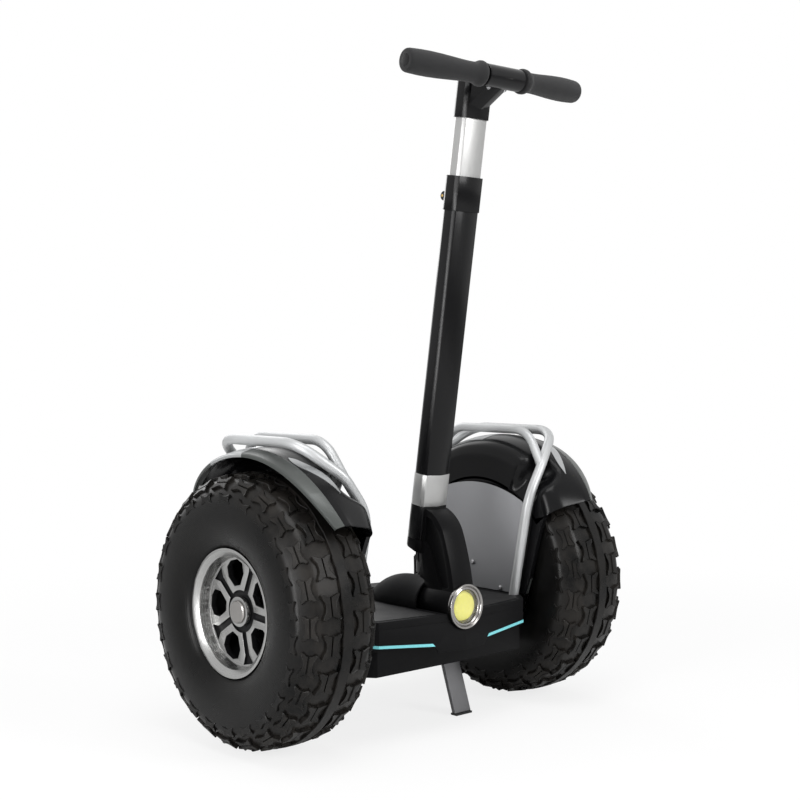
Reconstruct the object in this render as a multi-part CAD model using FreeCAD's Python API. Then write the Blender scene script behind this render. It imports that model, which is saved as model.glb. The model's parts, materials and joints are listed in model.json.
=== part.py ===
import FreeCAD, Part
import math
import os

# Self balancing personal transporter with two wide off-road wheels.
# Units are millimetres, +Z is up and the floor is Z = 0.
# The front, where the lamp is, faces -Y, so the rider's left is +X.
# Every piece is drawn with the wheel axle over Y = 0, and save() moves it along Y,
# so that the origin lies on the floor under the middle of the whole outline.

# Wheels
tyre_r = 241.0
tyre_w = 172.0
track = 639.0
lug_h = 6.0
lug_top_drop = 1.6
lug_count = 23
lug_half_long = 20.0
centre_row_arc = 31.5
centre_row_half_w = 17.0
shoulder_row_arc = 69.7
shoulder_row_half_w = 13.0
rib_w = 20.0
bead_r = 102.0
bead_toe_w = 100.0
rim_gap = 140.0
flange_h = 10.0
flange_t = 8.0
barrel_t = 4.0
disc_depth = 27.0
disc_t = 12.0
hub_r = 26.0
hub_out = 6.0
nut_r = 17.0
thread_deep = 2.0
shaft_r = 12.5
window_count = 5
window_low_r = 45.0
window_high_r = 90.0
window_w = 46.0
channel_deep = 5.0
channel_low_r = 31.0
channel_high_r = 91.0
channel_w = 30.0
centre_dip_r = 37.0
wheel_turn = 13.5
cap_t = 4.0

# Deck and body shell
deck_z = 220.0
deck_side_x = 213.0
deck_side_y = 122.0
deck_corner_x = 183.0
deck_corner_y = 157.0
deck_nose_y = 187.0
deck_top_t = 13.0
skirt_low_z = 168.0
panel_low_z = 153.0
panel_low_x = 57.0
shell_wall = 4.0
mat_t = 5.0
mat_in_x = 54.0
mat_out_x = 192.0
mat_edge = 12.0
strip_h = 5.0
strip_in_x = 66.0
strip_out_x = 191.0
strip_in_z = 165.8
strip_out_z = 175.0

# Chassis casting
tub_low_z = 124.0
tub_side_x = 208.0
tub_side_y = 116.0
tub_corner_x = 180.0
tub_front_y = 150.0
tub_wall = 5.0
bridge_half_x = 45.0
bridge_low_z = 182.0
bridge_top_z = 192.0
bracket_t = 6.0
bracket_half_y = 90.0
bracket_top_r = 110.0
belly_t = 3.0

# Side plates, fenders and rails
plate_t = 3.0
plate_r = 191.0
plate_low_z = 221.0
crown_gap = 42.0
fender_wall = 3.5
fender_reach_deg = 55.0
lip_out = 38.5
lip_end_out = 2.5
band_out = 10.5
band_end_in = 9.5
rail_r = 9.0
rail_clear = 5.0
rail_leg_in = 9.0
rail_foot_y = 112.0
rail_knee_y = 150.0
rail_knee_z = 405.0
rail_fork_x = 249.0
rail_fork_y = 151.0
rail_fork_drop = 50.0
rail_half_gap = 34.0
rail_mid_in = 27.5
rail_top_y = 103.0

# Steering pivot, hump and lamp
pivot_z = 231.0
barrel_r = 37.0
barrel_rear_y = -103.0
barrel_front_y = -181.0
hump_r = 42.0
hump_front_y = -101.0
hump_flare = 4.0
hump_wall = 3.5
housing_r = 30.0
housing_front_y = -97.0
housing_rear_y = -20.0
bearing_r = 16.0
bearing_w = 10.0
bearing_step = 2.0
pivot_shaft_r = 10.0
lamp_r = 41.0
lamp_glass_r = 30.0
lamp_disc_r = 25.5
lamp_front_y = -191.0

# Stem, measured by s along its leaning axis and by n towards the front
stem_lean = 8.9
stem_foot_y = -76.0
stem_foot_z = 330.0
tube_w = 63.5
tube_d = 43.0
tube_wall = 2.0
tube_play = 0.25
sleeve_t = 1.0
socket_t = 1.25
collar_t = 1.75
tube_low_s = 17.0
socket_top_s = 80.0
sleeve_top_s = 138.7
collar_low_s = 620.5
tube_top_s = 640.0
collar_top_s = 682.2
inner_low_s = 330.0
cap_low_s = 784.4
cap_top_s = 852.0
cap_wall = 2.5
fork_half_x = 25.0

# Handlebar
bar_s = 857.0
bar_ahead = 64.0
bar_r = 15.5
bar_end_r = 11.1
grip_in_x = 47.0
grip_out_x = 218.0
grip_flange_r = 22.5
bar_sweep_y = 17.0
bar_rise_z = 4.0
arm_half_x = 24.0

# Kickstand
stand_x = 92.0
stand_w = 42.0
stand_t = 8.0
stand_pivot_y = -47.0
stand_pivot_z = 104.0
stand_foot_y = -82.0
stand_pad_t = 4.0
stand_pin_r = 4.0
stand_ear_t = 5.0

# Fits and cuts
gap = 0.3
run_fit = 0.05
over = 5.0
hex_sides = 6

X = FreeCAD.Vector(1, 0, 0)
Z = FreeCAD.Vector(0, 0, 1)
ORIGIN = FreeCAD.Vector(0, 0, 0)
SIDES = {"left": 1, "right": -1}

axle_z = tyre_r
half_track = track / 2
crown_r = tyre_r + crown_gap
rail_top_z = axle_z + crown_r + rail_clear + rail_r
rail_fork_z = rail_top_z - rail_fork_drop
rail_out_x = half_track - rail_mid_in + rail_half_gap
rail_in_x = half_track - rail_mid_in - rail_half_gap
rail_leg_x = deck_side_x - rail_leg_in
lean = math.radians(stem_lean)
bracket_x = deck_side_x
fender_x = bracket_x + bracket_t + 2 * gap
inner_w = tube_w - 2 * (tube_wall + tube_play)
inner_d = tube_d - 2 * (tube_wall + tube_play)
bar_y = stem_foot_y - bar_s * math.sin(lean) - bar_ahead * math.cos(lean)
bar_z = stem_foot_z + bar_s * math.cos(lean) - bar_ahead * math.sin(lean)
front_reach = grip_flange_r - bar_y
axle_y = (front_reach - tyre_r) / 2


# Helpers for outlines and plain solids

def vec(x, y, z):
    return FreeCAD.Vector(x, y, z)


def point_on(axis, u, v, along):
    """Point at a place along one axis, whose other two coordinates are u and v."""
    if axis == "x":
        return vec(along, u, v)
    if axis == "y":
        return vec(u, along, v)
    return vec(u, v, along)


def closed_wire(points):
    return Part.makePolygon(points + [points[0]])


def corner_arc(before, here, after, radius):
    """Start, middle and end of the arc that rounds one corner of an outline."""
    back = (before - here).normalize()
    ahead = (after - here).normalize()
    half = back.getAngle(ahead) / 2
    reach = radius / math.tan(half)
    middle = (back + ahead).normalize() * (radius / math.sin(half) - radius)
    return here + back * reach, here + middle, here + ahead * reach


def rounded_wire(points, radii, is_closed=True):
    """Lines through the points, joined by tangent arcs of the given radii."""
    count = len(points)
    stops = []
    for i, here in enumerate(points):
        is_end = not is_closed and i in (0, count - 1)
        if is_end or radii[i] == 0:
            stops.append((here, None, here))
        else:
            stops.append(corner_arc(points[i - 1], here, points[(i + 1) % count], radii[i]))
    edges = []
    for i, (start, middle, end) in enumerate(stops):
        if middle is not None:
            edges.append(Part.Arc(start, middle, end).toShape())
        if is_closed or i < count - 1:
            edges.append(Part.makeLine(end, stops[(i + 1) % count][0]))
    return Part.Wire(edges)


def slab(axis, corners, low, high):
    """Solid with the outline of (u, v) or (u, v, radius) corners, from low to high."""
    points = [point_on(axis, corner[0], corner[1], low) for corner in corners]
    radii = [corner[2] if len(corner) > 2 else 0 for corner in corners]
    face = Part.Face(rounded_wire(points, radii))
    return face.extrude(point_on(axis, 0, 0, high - low))


def rod(axis, radius, low, high, u=0.0, v=0.0):
    direction = point_on(axis, 0, 0, 1)
    start = point_on(axis, u, v, low)
    return Part.makeCylinder(radius, high - low, start, direction)


def tube(axis, radius, bore, low, high, u=0.0, v=0.0):
    outer = rod(axis, radius, low, high, u, v)
    return outer.cut(rod(axis, bore, low - over, high + over, u, v))


def block(x_span, y_span, z_span):
    size = [span[1] - span[0] for span in (x_span, y_span, z_span)]
    corner = vec(x_span[0], y_span[0], z_span[0])
    return Part.makeBox(size[0], size[1], size[2], corner)


def spun(axis, profile, u=0.0, v=0.0):
    """Solid of revolution about a line along the axis; the profile is (along, radius)."""
    points = []
    for along, radius in profile:
        points.append(point_on(axis, 0, radius, along))
    face = Part.Face(closed_wire(points))
    solid = face.revolve(ORIGIN, point_on(axis, 0, 0, 1), 360)
    return solid.translated(point_on(axis, u, v, 0))


def bent_tube(points, radii, radius):
    """Round bar along straight runs joined by tangent arcs."""
    path = rounded_wire(points, radii, is_closed=False)
    start = (points[1] - points[0]).normalize()
    ring = Part.Wire(Part.makeCircle(radius, points[0], start))
    return path.makePipeShell([ring], True, False)


def mirrored(shape):
    return shape.mirror(ORIGIN, X)


def sided(shape, side):
    return shape if side > 0 else mirrored(shape)


def with_mirror(points):
    """Outline of a piece that is symmetric about X = 0, from its +X corners."""
    other = [(-corner[0],) + tuple(corner[1:]) for corner in reversed(points) if corner[0] > 0]
    return points + other


def on_shares(shares, u_size, v_size):
    return [(share[0] * u_size, share[1] * v_size) for share in shares]


def save(node, shape):
    moved = shape.translated(vec(0, axle_y, 0))
    moved.exportStep("parts/" + node + ".step")


# Tyre with a centre rib and four rows of waisted lugs

sidewall_shares = [(0.93, 0.20), (1.0, 0.50), (0.975, 0.76), (0.65, 0.974), (0.20, 1.0)]
lining_shares = [(0.60, 0.10), (0.80, 0.28), (0.87, 0.52), (0.80, 0.76), (0.56, 0.885)]
lug_shares = [(1, 1), (0.79, 0), (1, -1), (0, -0.64), (-1, -1), (-0.79, 0), (-1, 1), (0, 0.64)]
lug_rows = [(centre_row_arc, centre_row_half_w), (shoulder_row_arc, shoulder_row_half_w)]
carcass_r = tyre_r - lug_h
lug_root = 9.0


def carcass_half():
    """Outer side of the tyre section from the bead to the crown, as (x, radius)."""
    bead_x = rim_gap / 2 - flange_t - gap
    height = carcass_r - bead_r
    points = [(bead_x, bead_r + gap), (bead_x, bead_r + flange_h)]
    for x_share, r_share in sidewall_shares:
        points.append((x_share * tyre_w / 2, bead_r + r_share * height))
    return points


def carcass():
    outer = carcass_half()
    height = carcass_r - bead_r
    inner = [(bead_toe_w / 2, bead_r + gap)]
    for x_share, r_share in lining_shares:
        inner.append((x_share * tyre_w / 2, bead_r + r_share * height))
    other = [(-x, r) for x, r in reversed(outer)]
    back = [(-x, r) for x, r in inner]
    return spun("x", outer + other + back + inner[::-1])


def place_on_carcass(arc):
    """Place and tilt of the tread at an arc length from the middle of the crown."""
    line = [(0.0, carcass_r)] + carcass_half()[::-1]
    for start, end in zip(line, line[1:]):
        length = math.hypot(end[0] - start[0], end[1] - start[1])
        if arc <= length:
            share = arc / length
            x = start[0] + share * (end[0] - start[0])
            r = start[1] + share * (end[1] - start[1])
            return x, r, math.atan2(start[1] - end[1], end[0] - start[0])
        arc -= length
    return line[-1][0], line[-1][1], 0.0


def lug(arc, half_w, side):
    """One waisted lug at the top of the wheel, rooted in the carcass."""
    x, r, tilt = place_on_carcass(arc)
    corners = []
    for around, across in on_shares(lug_shares, lug_half_long, half_w):
        corners.append(vec(side * (x + across * math.cos(tilt)), around, r - across * math.sin(tilt)))
    normal = vec(side * math.sin(tilt), 0, math.cos(tilt))
    face = Part.Face(closed_wire([corner - normal * lug_root for corner in corners]))
    return face.extrude(normal * (lug_root + lug_h - lug_top_drop))


def lug_ring(arc, half_w, side, phase):
    pitch = 360 / lug_count
    lugs = []
    for i in range(lug_count):
        copy = lug(arc, half_w, side)
        copy.rotate(ORIGIN, X, (i + phase) * pitch)
        lugs.append(copy)
    return lugs


def tyre():
    rib = tube("x", tyre_r, carcass_r - lug_root, -rib_w / 2, rib_w / 2)
    lugs = [rib]
    for row, (arc, half_w) in enumerate(lug_rows):
        for side in SIDES.values():
            lugs += lug_ring(arc, half_w, side, (row + (side < 0)) / 2)
    return carcass().fuse(lugs)


# Alloy rim with five framed windows and five dark channels between them

window_shares = [(0.19, 0.0), (0.5, 0.40), (0.5, 0.80), (0.22, 1.0)]
channel_shares = [(0.2, 0.0), (0.2, 0.75), (0.5, 1.0)]
barrel_lip_r = 107.0
barrel_mouth_r = 98.0
barrel_mouth_x = 63.0
barrel_foot_r = 94.5
drop_r = 97.5
drop_half_x = 36.0
seat_half_x = 44.0
nut_pocket_x = 6.0


def disc_face_x():
    return rim_gap / 2 - disc_depth


def rim_profile():
    edge = rim_gap / 2
    seat = edge - flange_t
    flange_r = bead_r + flange_h
    face = disc_face_x()
    back = face - disc_t
    inside_r = drop_r - barrel_t
    nose = face + hub_out
    return [(seat, bead_r), (seat, flange_r), (edge, flange_r), (edge, barrel_lip_r),
            (barrel_mouth_x, barrel_mouth_r), (face, barrel_foot_r), (face, hub_r),
            (nose, hub_r), (nose, nut_r + gap), (face - nut_pocket_x, nut_r + gap),
            (face - nut_pocket_x, shaft_r + run_fit), (back, shaft_r + run_fit), (back, inside_r),
            (-drop_half_x, inside_r), (-seat_half_x, bead_r - barrel_t),
            (-seat, bead_r - barrel_t), (-edge, barrel_lip_r), (-edge, flange_r),
            (-seat, flange_r), (-seat, bead_r), (-seat_half_x, bead_r), (-drop_half_x, drop_r),
            (drop_half_x, drop_r), (seat_half_x, bead_r)]


def spoke_outline(shares, width, low_r, high_r):
    half = [(share * width, low_r + v * (high_r - low_r)) for share, v in shares]
    return with_mirror(half)


def rim():
    solid = spun("x", rim_profile())
    face = disc_face_x()
    window = spoke_outline(window_shares, window_w, window_low_r, window_high_r)
    channel = spoke_outline(channel_shares, channel_w, channel_low_r, channel_high_r)
    dip = tube("x", centre_dip_r, hub_r, face - channel_deep, face + over)
    cuts = [dip]
    for i in range(window_count):
        turn = wheel_turn - i * 360 / window_count
        opening = slab("x", window, face - disc_t - over, face + over)
        opening.rotate(ORIGIN, X, -turn)
        recess = slab("x", channel, face - channel_deep, face + over)
        recess.rotate(ORIGIN, X, -turn + 180 / window_count)
        cuts += [opening, recess]
    return solid.cut(cuts)


def hub_cap():
    nose = disc_face_x() + hub_out + gap
    edge_r = hub_r - hub_out
    return spun("x", [(nose, 0), (nose, edge_r), (nose + cap_t / 2, edge_r),
                      (nose + cap_t, edge_r - cap_t / 2), (nose + cap_t, 0)])


def axle_nut():
    floor = disc_face_x() - nut_pocket_x + gap
    height = disc_face_x() + hub_out - gap - floor
    ring = regular_prism(hex_sides, nut_r - gap, height, floor)
    return ring.cut(rod("x", shaft_r - thread_deep + run_fit, floor - over, floor + height + over))


def regular_prism(sides, radius, height, start_x):
    points = []
    for i in range(sides):
        angle = 2 * math.pi * i / sides
        points.append(vec(start_x, radius * math.cos(angle), radius * math.sin(angle)))
    return Part.Face(closed_wire(points)).extrude(X * height)


drive_flange_r = 38.0
drive_flange_t = 12.0


def drive_shaft():
    """Output shaft of the gearbox with the flange that carries the rim."""
    back = disc_face_x() - disc_t
    threaded_x = disc_face_x() - nut_pocket_x
    inner_x = gearbox_out_x - half_track - gearbox_bore_deep
    flange = rod("x", drive_flange_r, back - gap - drive_flange_t, back - gap)
    shaft = rod("x", shaft_r, inner_x, threaded_x)
    thread = rod("x", shaft_r - thread_deep, threaded_x, disc_face_x() + hub_out - 2 * gap)
    return flange.fuse([shaft, thread])


# Gearbox and motor on each side

gearbox_r = 72.0
gearbox_lobe_r = 21.0
gearbox_end_in = 19.5
gearbox_out_x = half_track - gearbox_end_in
gearbox_lobe_out_x = 250.0
gearbox_bore_deep = 60.0
motor_z = 166.0
motor_r = 35.0
motor_in_x = 100.0
motor_neck_r = 18.0


def gearbox():
    start = bracket_x + bracket_t
    main = rod("x", gearbox_r, start, gearbox_out_x, 0, axle_z)
    lobe = rod("x", gearbox_lobe_r, start, gearbox_lobe_out_x, 0, motor_z + (motor_r - gearbox_lobe_r) / 2)
    bore_start = gearbox_out_x - gearbox_bore_deep - gap
    bore = rod("x", shaft_r + run_fit, bore_start, gearbox_out_x + over, 0, axle_z)
    return main.fuse(lobe).cut(bore)


def motor():
    wall = tub_side_x - tub_wall
    body = rod("x", motor_r, motor_in_x, wall - gap, 0, motor_z)
    neck = rod("x", motor_neck_r, wall - gap, bracket_x + bracket_t - gap, 0, motor_z)
    return body.fuse(neck)


# Deck outline and the shell pieces that follow it

def deck_outline(inset):
    """Deck seen from above, with shallow pointed front and rear, drawn in by an inset."""
    right = [(0, -deck_nose_y), (deck_corner_x, -deck_corner_y), (deck_side_x, -deck_side_y),
             (deck_side_x, deck_side_y), (deck_corner_x, deck_corner_y), (0, deck_nose_y)]
    points = [vec(x, y, 0) for x, y in with_mirror(right)]
    wire = closed_wire(points)
    if inset == 0:
        return wire
    return wire.makeOffset2D(-inset, 2)


def deck_prism(inset, low, high):
    face = Part.Face(deck_outline(inset))
    return face.translated(vec(0, 0, low)).extrude(Z * (high - low))


def strip_zone(side, grow):
    """Front view of a light strip, rising towards the side, as a prism along Y."""
    slope = (strip_out_z - strip_in_z) / (strip_out_x - strip_in_x)
    corners = [(strip_in_x - grow, strip_in_z - grow), (strip_out_x + grow, strip_out_z - grow),
               (strip_out_x + grow, strip_out_z + strip_h + grow),
               (strip_in_x + strip_h, strip_in_z + strip_h * (1 + slope) + grow)]
    return sided(slab("y", corners, -deck_nose_y - over, -deck_side_y), side)


strip_deep = 2.0
strip_proud = 0.4


def light_strip(side):
    wall = deck_prism(-strip_proud, skirt_low_z - over, deck_z).cut(
        deck_prism(strip_deep, skirt_low_z - 2 * over, deck_z + over))
    return wall.common(strip_zone(side, 0))


def strip_slots():
    ring = deck_prism(-over, skirt_low_z - 2 * over, deck_z).cut(
        deck_prism(strip_deep + gap, skirt_low_z - 3 * over, deck_z + over))
    return [ring.common(strip_zone(side, gap)) for side in SIDES.values()]


panel_reveal = 2.0


def panel_zone():
    """Front view of the front panel, whose lower edge drops in the middle."""
    side_x = deck_corner_x - gap
    right = [(0, panel_low_z), (panel_low_x, panel_low_z), (strip_in_x, strip_in_z - panel_reveal),
             (side_x, strip_out_z - panel_reveal - gap), (side_x, deck_z - deck_top_t - gap)]
    return slab("y", with_mirror(right), -deck_nose_y - over, -deck_corner_y + 2 * shell_wall)


def front_panel():
    wall = deck_prism(0, panel_low_z - over, deck_z).cut(
        deck_prism(shell_wall, panel_low_z - 2 * over, deck_z + over))
    panel = wall.common(panel_zone())
    return panel.cut(strip_slots() + [lamp_trough()])


trough_gap = 1.5


def lamp_trough():
    """Room for the swinging barrel and lamp in the front of the deck."""
    run = rod("y", barrel_r + trough_gap, -deck_nose_y - over, hump_front_y, 0, pivot_z)
    mouth = rod("y", lamp_r + trough_gap, lamp_front_y - over, barrel_front_y + trough_gap, 0, pivot_z)
    return run.fuse(mouth)


def mat_zone(side, grow):
    flat = deck_prism(mat_edge - grow, deck_z - mat_t - grow, deck_z + over)
    span = block((mat_in_x - grow, mat_out_x + grow), (-deck_nose_y, deck_nose_y),
                 (deck_z - mat_t - grow, deck_z + over))
    return sided(flat.common(span), side)


mat_proud = 0.8


def foot_mat(side):
    lid = block((-deck_side_x, deck_side_x), (-deck_nose_y, deck_nose_y),
                (deck_z - mat_t, deck_z + mat_proud))
    return mat_zone(side, 0).common(lid)


housing_slot_half_x = 36.0
housing_slot_rear_y = 40.0
side_notch_top_z = 205.0


def deck_cover():
    """Moulded deck shell with skirts, recesses for the mats and a slot for the pivot."""
    shell = deck_prism(0, skirt_low_z, deck_z)
    inside = deck_prism(shell_wall, skirt_low_z - over, deck_z - deck_top_t)
    panel_y = (-deck_nose_y - over, -deck_corner_y + 2 * shell_wall)
    panel_room = block((-deck_corner_x, deck_corner_x), panel_y, (panel_low_z, deck_z - deck_top_t))
    slot = block((-housing_slot_half_x, housing_slot_half_x), (hump_front_y - over, housing_slot_rear_y),
                 (skirt_low_z, deck_z + over))
    cuts = [inside, panel_room, slot, lamp_trough()] + strip_slots()
    notch_y = bracket_half_y + gap
    for side in SIDES.values():
        notch = block((tub_side_x - over, deck_side_x + over), (-notch_y, notch_y),
                      (skirt_low_z - over, side_notch_top_z + gap))
        cuts += [mat_zone(side, gap), sided(notch, side)]
    return shell.cut(cuts)


# Chassis casting with its cross bridge and upright side brackets

def tub_prism(inset, low, high):
    right = [(tub_corner_x, -tub_front_y), (tub_side_x, -tub_side_y),
             (tub_side_x, tub_side_y), (tub_corner_x, tub_front_y)]
    wire = closed_wire([vec(x, y, low) for x, y in with_mirror(right)])
    if inset:
        wire = wire.makeOffset2D(-inset, 2)
    return Part.Face(wire).extrude(Z * (high - low))


bracket_low_z = 135.0
bracket_hole_r = 10.0
bracket_hole_angles = [40, 90, 140]
bracket_hole_circle_r = 91.0


def side_bracket():
    """Upright plate at the end of the tub that carries the gearbox, rail and fender."""
    foot_top_z = side_notch_top_z
    upright = rod("x", bracket_top_r, bracket_x, bracket_x + bracket_t, 0, axle_z)
    web = block((bracket_x, bracket_x + bracket_t), (-bracket_half_y, bracket_half_y),
                (bracket_low_z, axle_z))
    boss = block((tub_side_x - gap, bracket_x), (-bracket_half_y, bracket_half_y),
                 (bracket_low_z, foot_top_z))
    above = block((bracket_x - over, bracket_x + bracket_t + over), (-bracket_top_r, bracket_top_r),
                  (bracket_low_z - bracket_top_r, bracket_low_z))
    holes = []
    for angle in bracket_hole_angles:
        turn = math.radians(angle)
        hole_y = bracket_hole_circle_r * math.cos(turn)
        hole_z = axle_z + bracket_hole_circle_r * math.sin(turn)
        holes.append(rod("x", bracket_hole_r, bracket_x - over, bracket_x + bracket_t + over, hole_y, hole_z))
    neck = rod("x", motor_neck_r + gap, tub_side_x - 2 * tub_wall, bracket_x + bracket_t + over, 0, motor_z)
    return upright.fuse([web, boss]).cut(holes + [above, neck])


port_r = 9.0
port_x = -90.0
port_z = 146.0
port_proud = 3.0


def chassis_frame():
    top = deck_z - deck_top_t - gap
    tub = tub_prism(0, tub_low_z, top)
    tub = tub.cut(tub_prism(tub_wall, tub_low_z + tub_wall, top + over))
    bridge = block((-bridge_half_x, bridge_half_x), (-tub_front_y + gap, tub_front_y - gap),
                   (bridge_low_z, bridge_top_z))
    pieces = [bridge] + [sided(side_bracket(), side) for side in SIDES.values()]
    neck = rod("x", motor_neck_r + gap, -deck_side_x - over, deck_side_x + over, 0, motor_z)
    inside = block((-motor_in_x, motor_in_x), (-motor_neck_r - over, motor_neck_r + over),
                   (motor_z - motor_neck_r - over, motor_z + motor_neck_r + over))
    port = rod("y", port_r + gap, tub_front_y - tub_wall - over, tub_front_y + over, port_x, port_z)
    return tub.fuse(pieces).cut([neck.cut(inside), port, lamp_trough()])


def belly_cover():
    return tub_prism(tub_wall + gap, tub_low_z - belly_t - gap, tub_low_z - gap)


def charge_port():
    body = rod("y", port_r, tub_front_y - tub_wall - gap, tub_front_y + port_proud, port_x, port_z)
    lid = rod("y", port_r + port_proud, tub_front_y + gap, tub_front_y + port_proud, port_x, port_z)
    return body.fuse(lid)


pack_half_x = 95.0
pack_rear_y = 50.0
pack_top_z = 178.0
box_top_z = 160.0
box_fin = 4.0
fin_count = 6


def battery_pack():
    floor = tub_low_z + tub_wall + gap
    return block((-pack_half_x, pack_half_x), (-tub_front_y + 2 * tub_wall, pack_rear_y), (floor, pack_top_z))


def motor_controller():
    floor = tub_low_z + tub_wall + gap
    body = block((-pack_half_x, pack_half_x), (pack_rear_y + 2 * over, tub_front_y - 2 * tub_wall),
                 (floor, box_top_z))
    fins = []
    for i in range(fin_count):
        x = -pack_half_x + (2 * i + 1) * pack_half_x / fin_count
        fins.append(block((x - box_fin, x + box_fin), (pack_rear_y + 3 * over, tub_front_y - 3 * tub_wall),
                          (box_top_z - gap, box_top_z + box_fin)))
    return body.fuse(fins)


# Grey side plates and their screws

plate_foot_y = 101.0
plate_front_y = 137.0
plate_front_z = 396.0
screw_r = 5.0
screw_h = 3.0
screw_places = [(-72.0, 227.0), (72.0, 227.0), (5.0, 270.0)]


def plate_outline():
    """Side view of the plate: leaning front and rear edges under an arched top."""
    low_front = vec(bracket_x, -plate_foot_y, plate_low_z)
    top_front = vec(bracket_x, -plate_front_y, plate_front_z)
    crown = vec(bracket_x, 0, axle_z + plate_r)
    top_rear = vec(bracket_x, plate_front_y, plate_front_z)
    low_rear = vec(bracket_x, plate_foot_y, plate_low_z)
    arch = Part.Arc(top_front, crown, top_rear).toShape()
    return Part.Wire([Part.makeLine(low_front, top_front), arch, Part.makeLine(top_rear, low_rear),
                      Part.makeLine(low_rear, low_front)])


def side_plate():
    return Part.Face(plate_outline()).extrude(X * -plate_t)


def side_plate_screws():
    screws = []
    for y, z in screw_places:
        face = bracket_x - plate_t - gap
        head = spun("x", [(face, 0), (face, screw_r), (face - screw_h / 2, screw_r),
                          (face - screw_h, screw_r / 2), (face - screw_h, 0)], y, z)
        screws += [head, mirrored(head)]
    return Part.makeCompound(screws)


# Fender: a lofted crown over the wheel on a flat inner wall

step_start_deg = 25.0
step_end_deg = 31.0
step_out = 20.0
fender_low_drop = 87.0
wall_top_drop = 55.0
shoulder_low_drop = 27.0
shoulder_mid_drop = 15.0
shoulder_top_drop = 8.0
ledge_drop = 2.0
band_drop = 3.0
lip_drop = 10.0
lip_low_drop = 16.0
end_drop = 8.0
shoulder_mid_out = 7.0
shoulder_top_out = 22.0
ledge_in = 51.5
crest_in = 27.5
step_low_drop = 10.0
step_mid_drop = 9.5
step_top_drop = 5.0
step_mid_out = 6.0
step_top_out = 8.0
section_count = 22
fender_low_r = crown_r - fender_low_drop


def bow(angle, side_value, end_value):
    """Plan shape of the outer edge: full over the axle and drawn in at both ends."""
    share = abs(angle / fender_reach_deg) ** 3
    return side_value + (end_value - side_value) * share


def step_share(angle):
    share = (abs(angle) - step_start_deg) / (step_end_deg - step_start_deg)
    return min(max(share, 0), 1)


def fender_section(angle, lift):
    """Skin of the fender in one radial plane, as (x, radius), lifted outwards."""
    step = step_share(angle)
    top_r = bow(angle, crown_r, crown_r - end_drop)
    wall_x = fender_x + step_out * step
    mid_x = wall_x + shoulder_mid_out + step_mid_out * step
    top_x = wall_x + shoulder_top_out + step_top_out * step
    ledge_x = half_track - ledge_in + step_top_out * step
    crest_x = half_track - crest_in
    band_x = bow(angle, half_track + band_out, half_track - band_end_in)
    lip_x = bow(angle, half_track + lip_out, half_track + lip_end_out)
    flat = [(fender_x, fender_low_r, -1, 0), (wall_x, crown_r - wall_top_drop, -1, 0),
            (wall_x, crown_r - shoulder_low_drop - step_low_drop * step, -1, 0.2),
            (mid_x, crown_r - shoulder_mid_drop - step_mid_drop * step, -0.8, 0.8),
            (top_x, crown_r - shoulder_top_drop - step_top_drop * step, -0.3, 1),
            (ledge_x, top_r - ledge_drop, -0.1, 1), (crest_x, top_r, 0, 1),
            (band_x, top_r - band_drop, 0.1, 1), (lip_x, top_r - lip_drop, 0.3, 1),
            (lip_x + gap, top_r - lip_low_drop, 1, 0)]
    return [(x + dx * lift, r + dr * lift) for x, r, dx, dr in flat]


def section_wire(angle, low, high):
    turn = math.radians(angle)
    outline = fender_section(angle, high) + fender_section(angle, low)[::-1]
    points = []
    for x, r in outline:
        points.append(vec(x, r * math.sin(turn), axle_z + r * math.cos(turn)))
    return closed_wire(points)


def fender_layer(low, high):
    wires = []
    for i in range(section_count + 1):
        angle = fender_reach_deg * (2 * i / section_count - 1)
        wires.append(section_wire(angle, low, high))
    return Part.makeLoft(wires, True, True)


wall_edge = [(150.0, 221.5), (172.0, 280.0), (184.0, 330.0), (172.0, 352.0)]
wall_edge_shares = [-1.0, -0.72, -0.36, 0.0, 0.36, 0.72, 1.0]
return_flange_w = 6.0
gearbox_room = 2.0


def wall_sides(inset):
    """Front and rear edges of the inner wall, drawn in by an inset."""
    front = [(inset - y, z) for y, z in wall_edge]
    rear = [(-y, z) for y, z in reversed(front)]
    return front, rear


def wall_corners():
    front, rear = wall_sides(0)
    top = []
    for share in wall_edge_shares:
        turn = math.radians(fender_reach_deg * share)
        r = fender_low_r + 2 * fender_wall
        top.append((r * math.sin(turn), axle_z + r * math.cos(turn)))
    return front + top + rear


def wall_flange():
    """Return flange along the front and rear edges of the inner wall."""
    front, rear = wall_sides(0)
    zone = slab("x", front + rear, fender_x, fender_x + return_flange_w)
    low = fender_x - over
    high = fender_x + return_flange_w + over
    front, rear = wall_sides(fender_wall)
    half_y = wall_edge[0][0] - over
    core = slab("x", front + rear, low, high)
    middle = block((low, high), (-half_y, half_y), (deck_z - over, axle_z + fender_low_r))
    return zone.cut([core, middle])


def fender():
    wall = slab("x", wall_corners(), fender_x, fender_x + fender_wall)
    low = fender_x - over
    high = fender_x + return_flange_w + over
    lobe_z = motor_z + (motor_r - gearbox_lobe_r) / 2
    hole = rod("x", gearbox_r + gearbox_room, low, high, 0, axle_z)
    lobe = rod("x", gearbox_lobe_r + gearbox_room, low, high, 0, lobe_z)
    return fender_layer(-fender_wall, 0).fuse([wall, wall_flange()]).cut([hole, lobe])


leaf_outer = [(-22.5, -178.0), (-9.5, -150.0), (1.5, -122.0), (2.5, -108.0), (-5.5, -92.0),
              (-19.5, -74.0), (-25.5, -52.0), (-25.5, -40.0), (25.5, -34.0), (55.5, -33.0)]
leaf_inner = [(55.5, 62.0), (10.5, 72.0), (-23.5, 76.0), (-47.5, 52.0), (-53.5, 10.0),
              (-53.5, -60.0), (-43.5, -110.0), (-31.5, -150.0)]
leaf_t = 1.3


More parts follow.
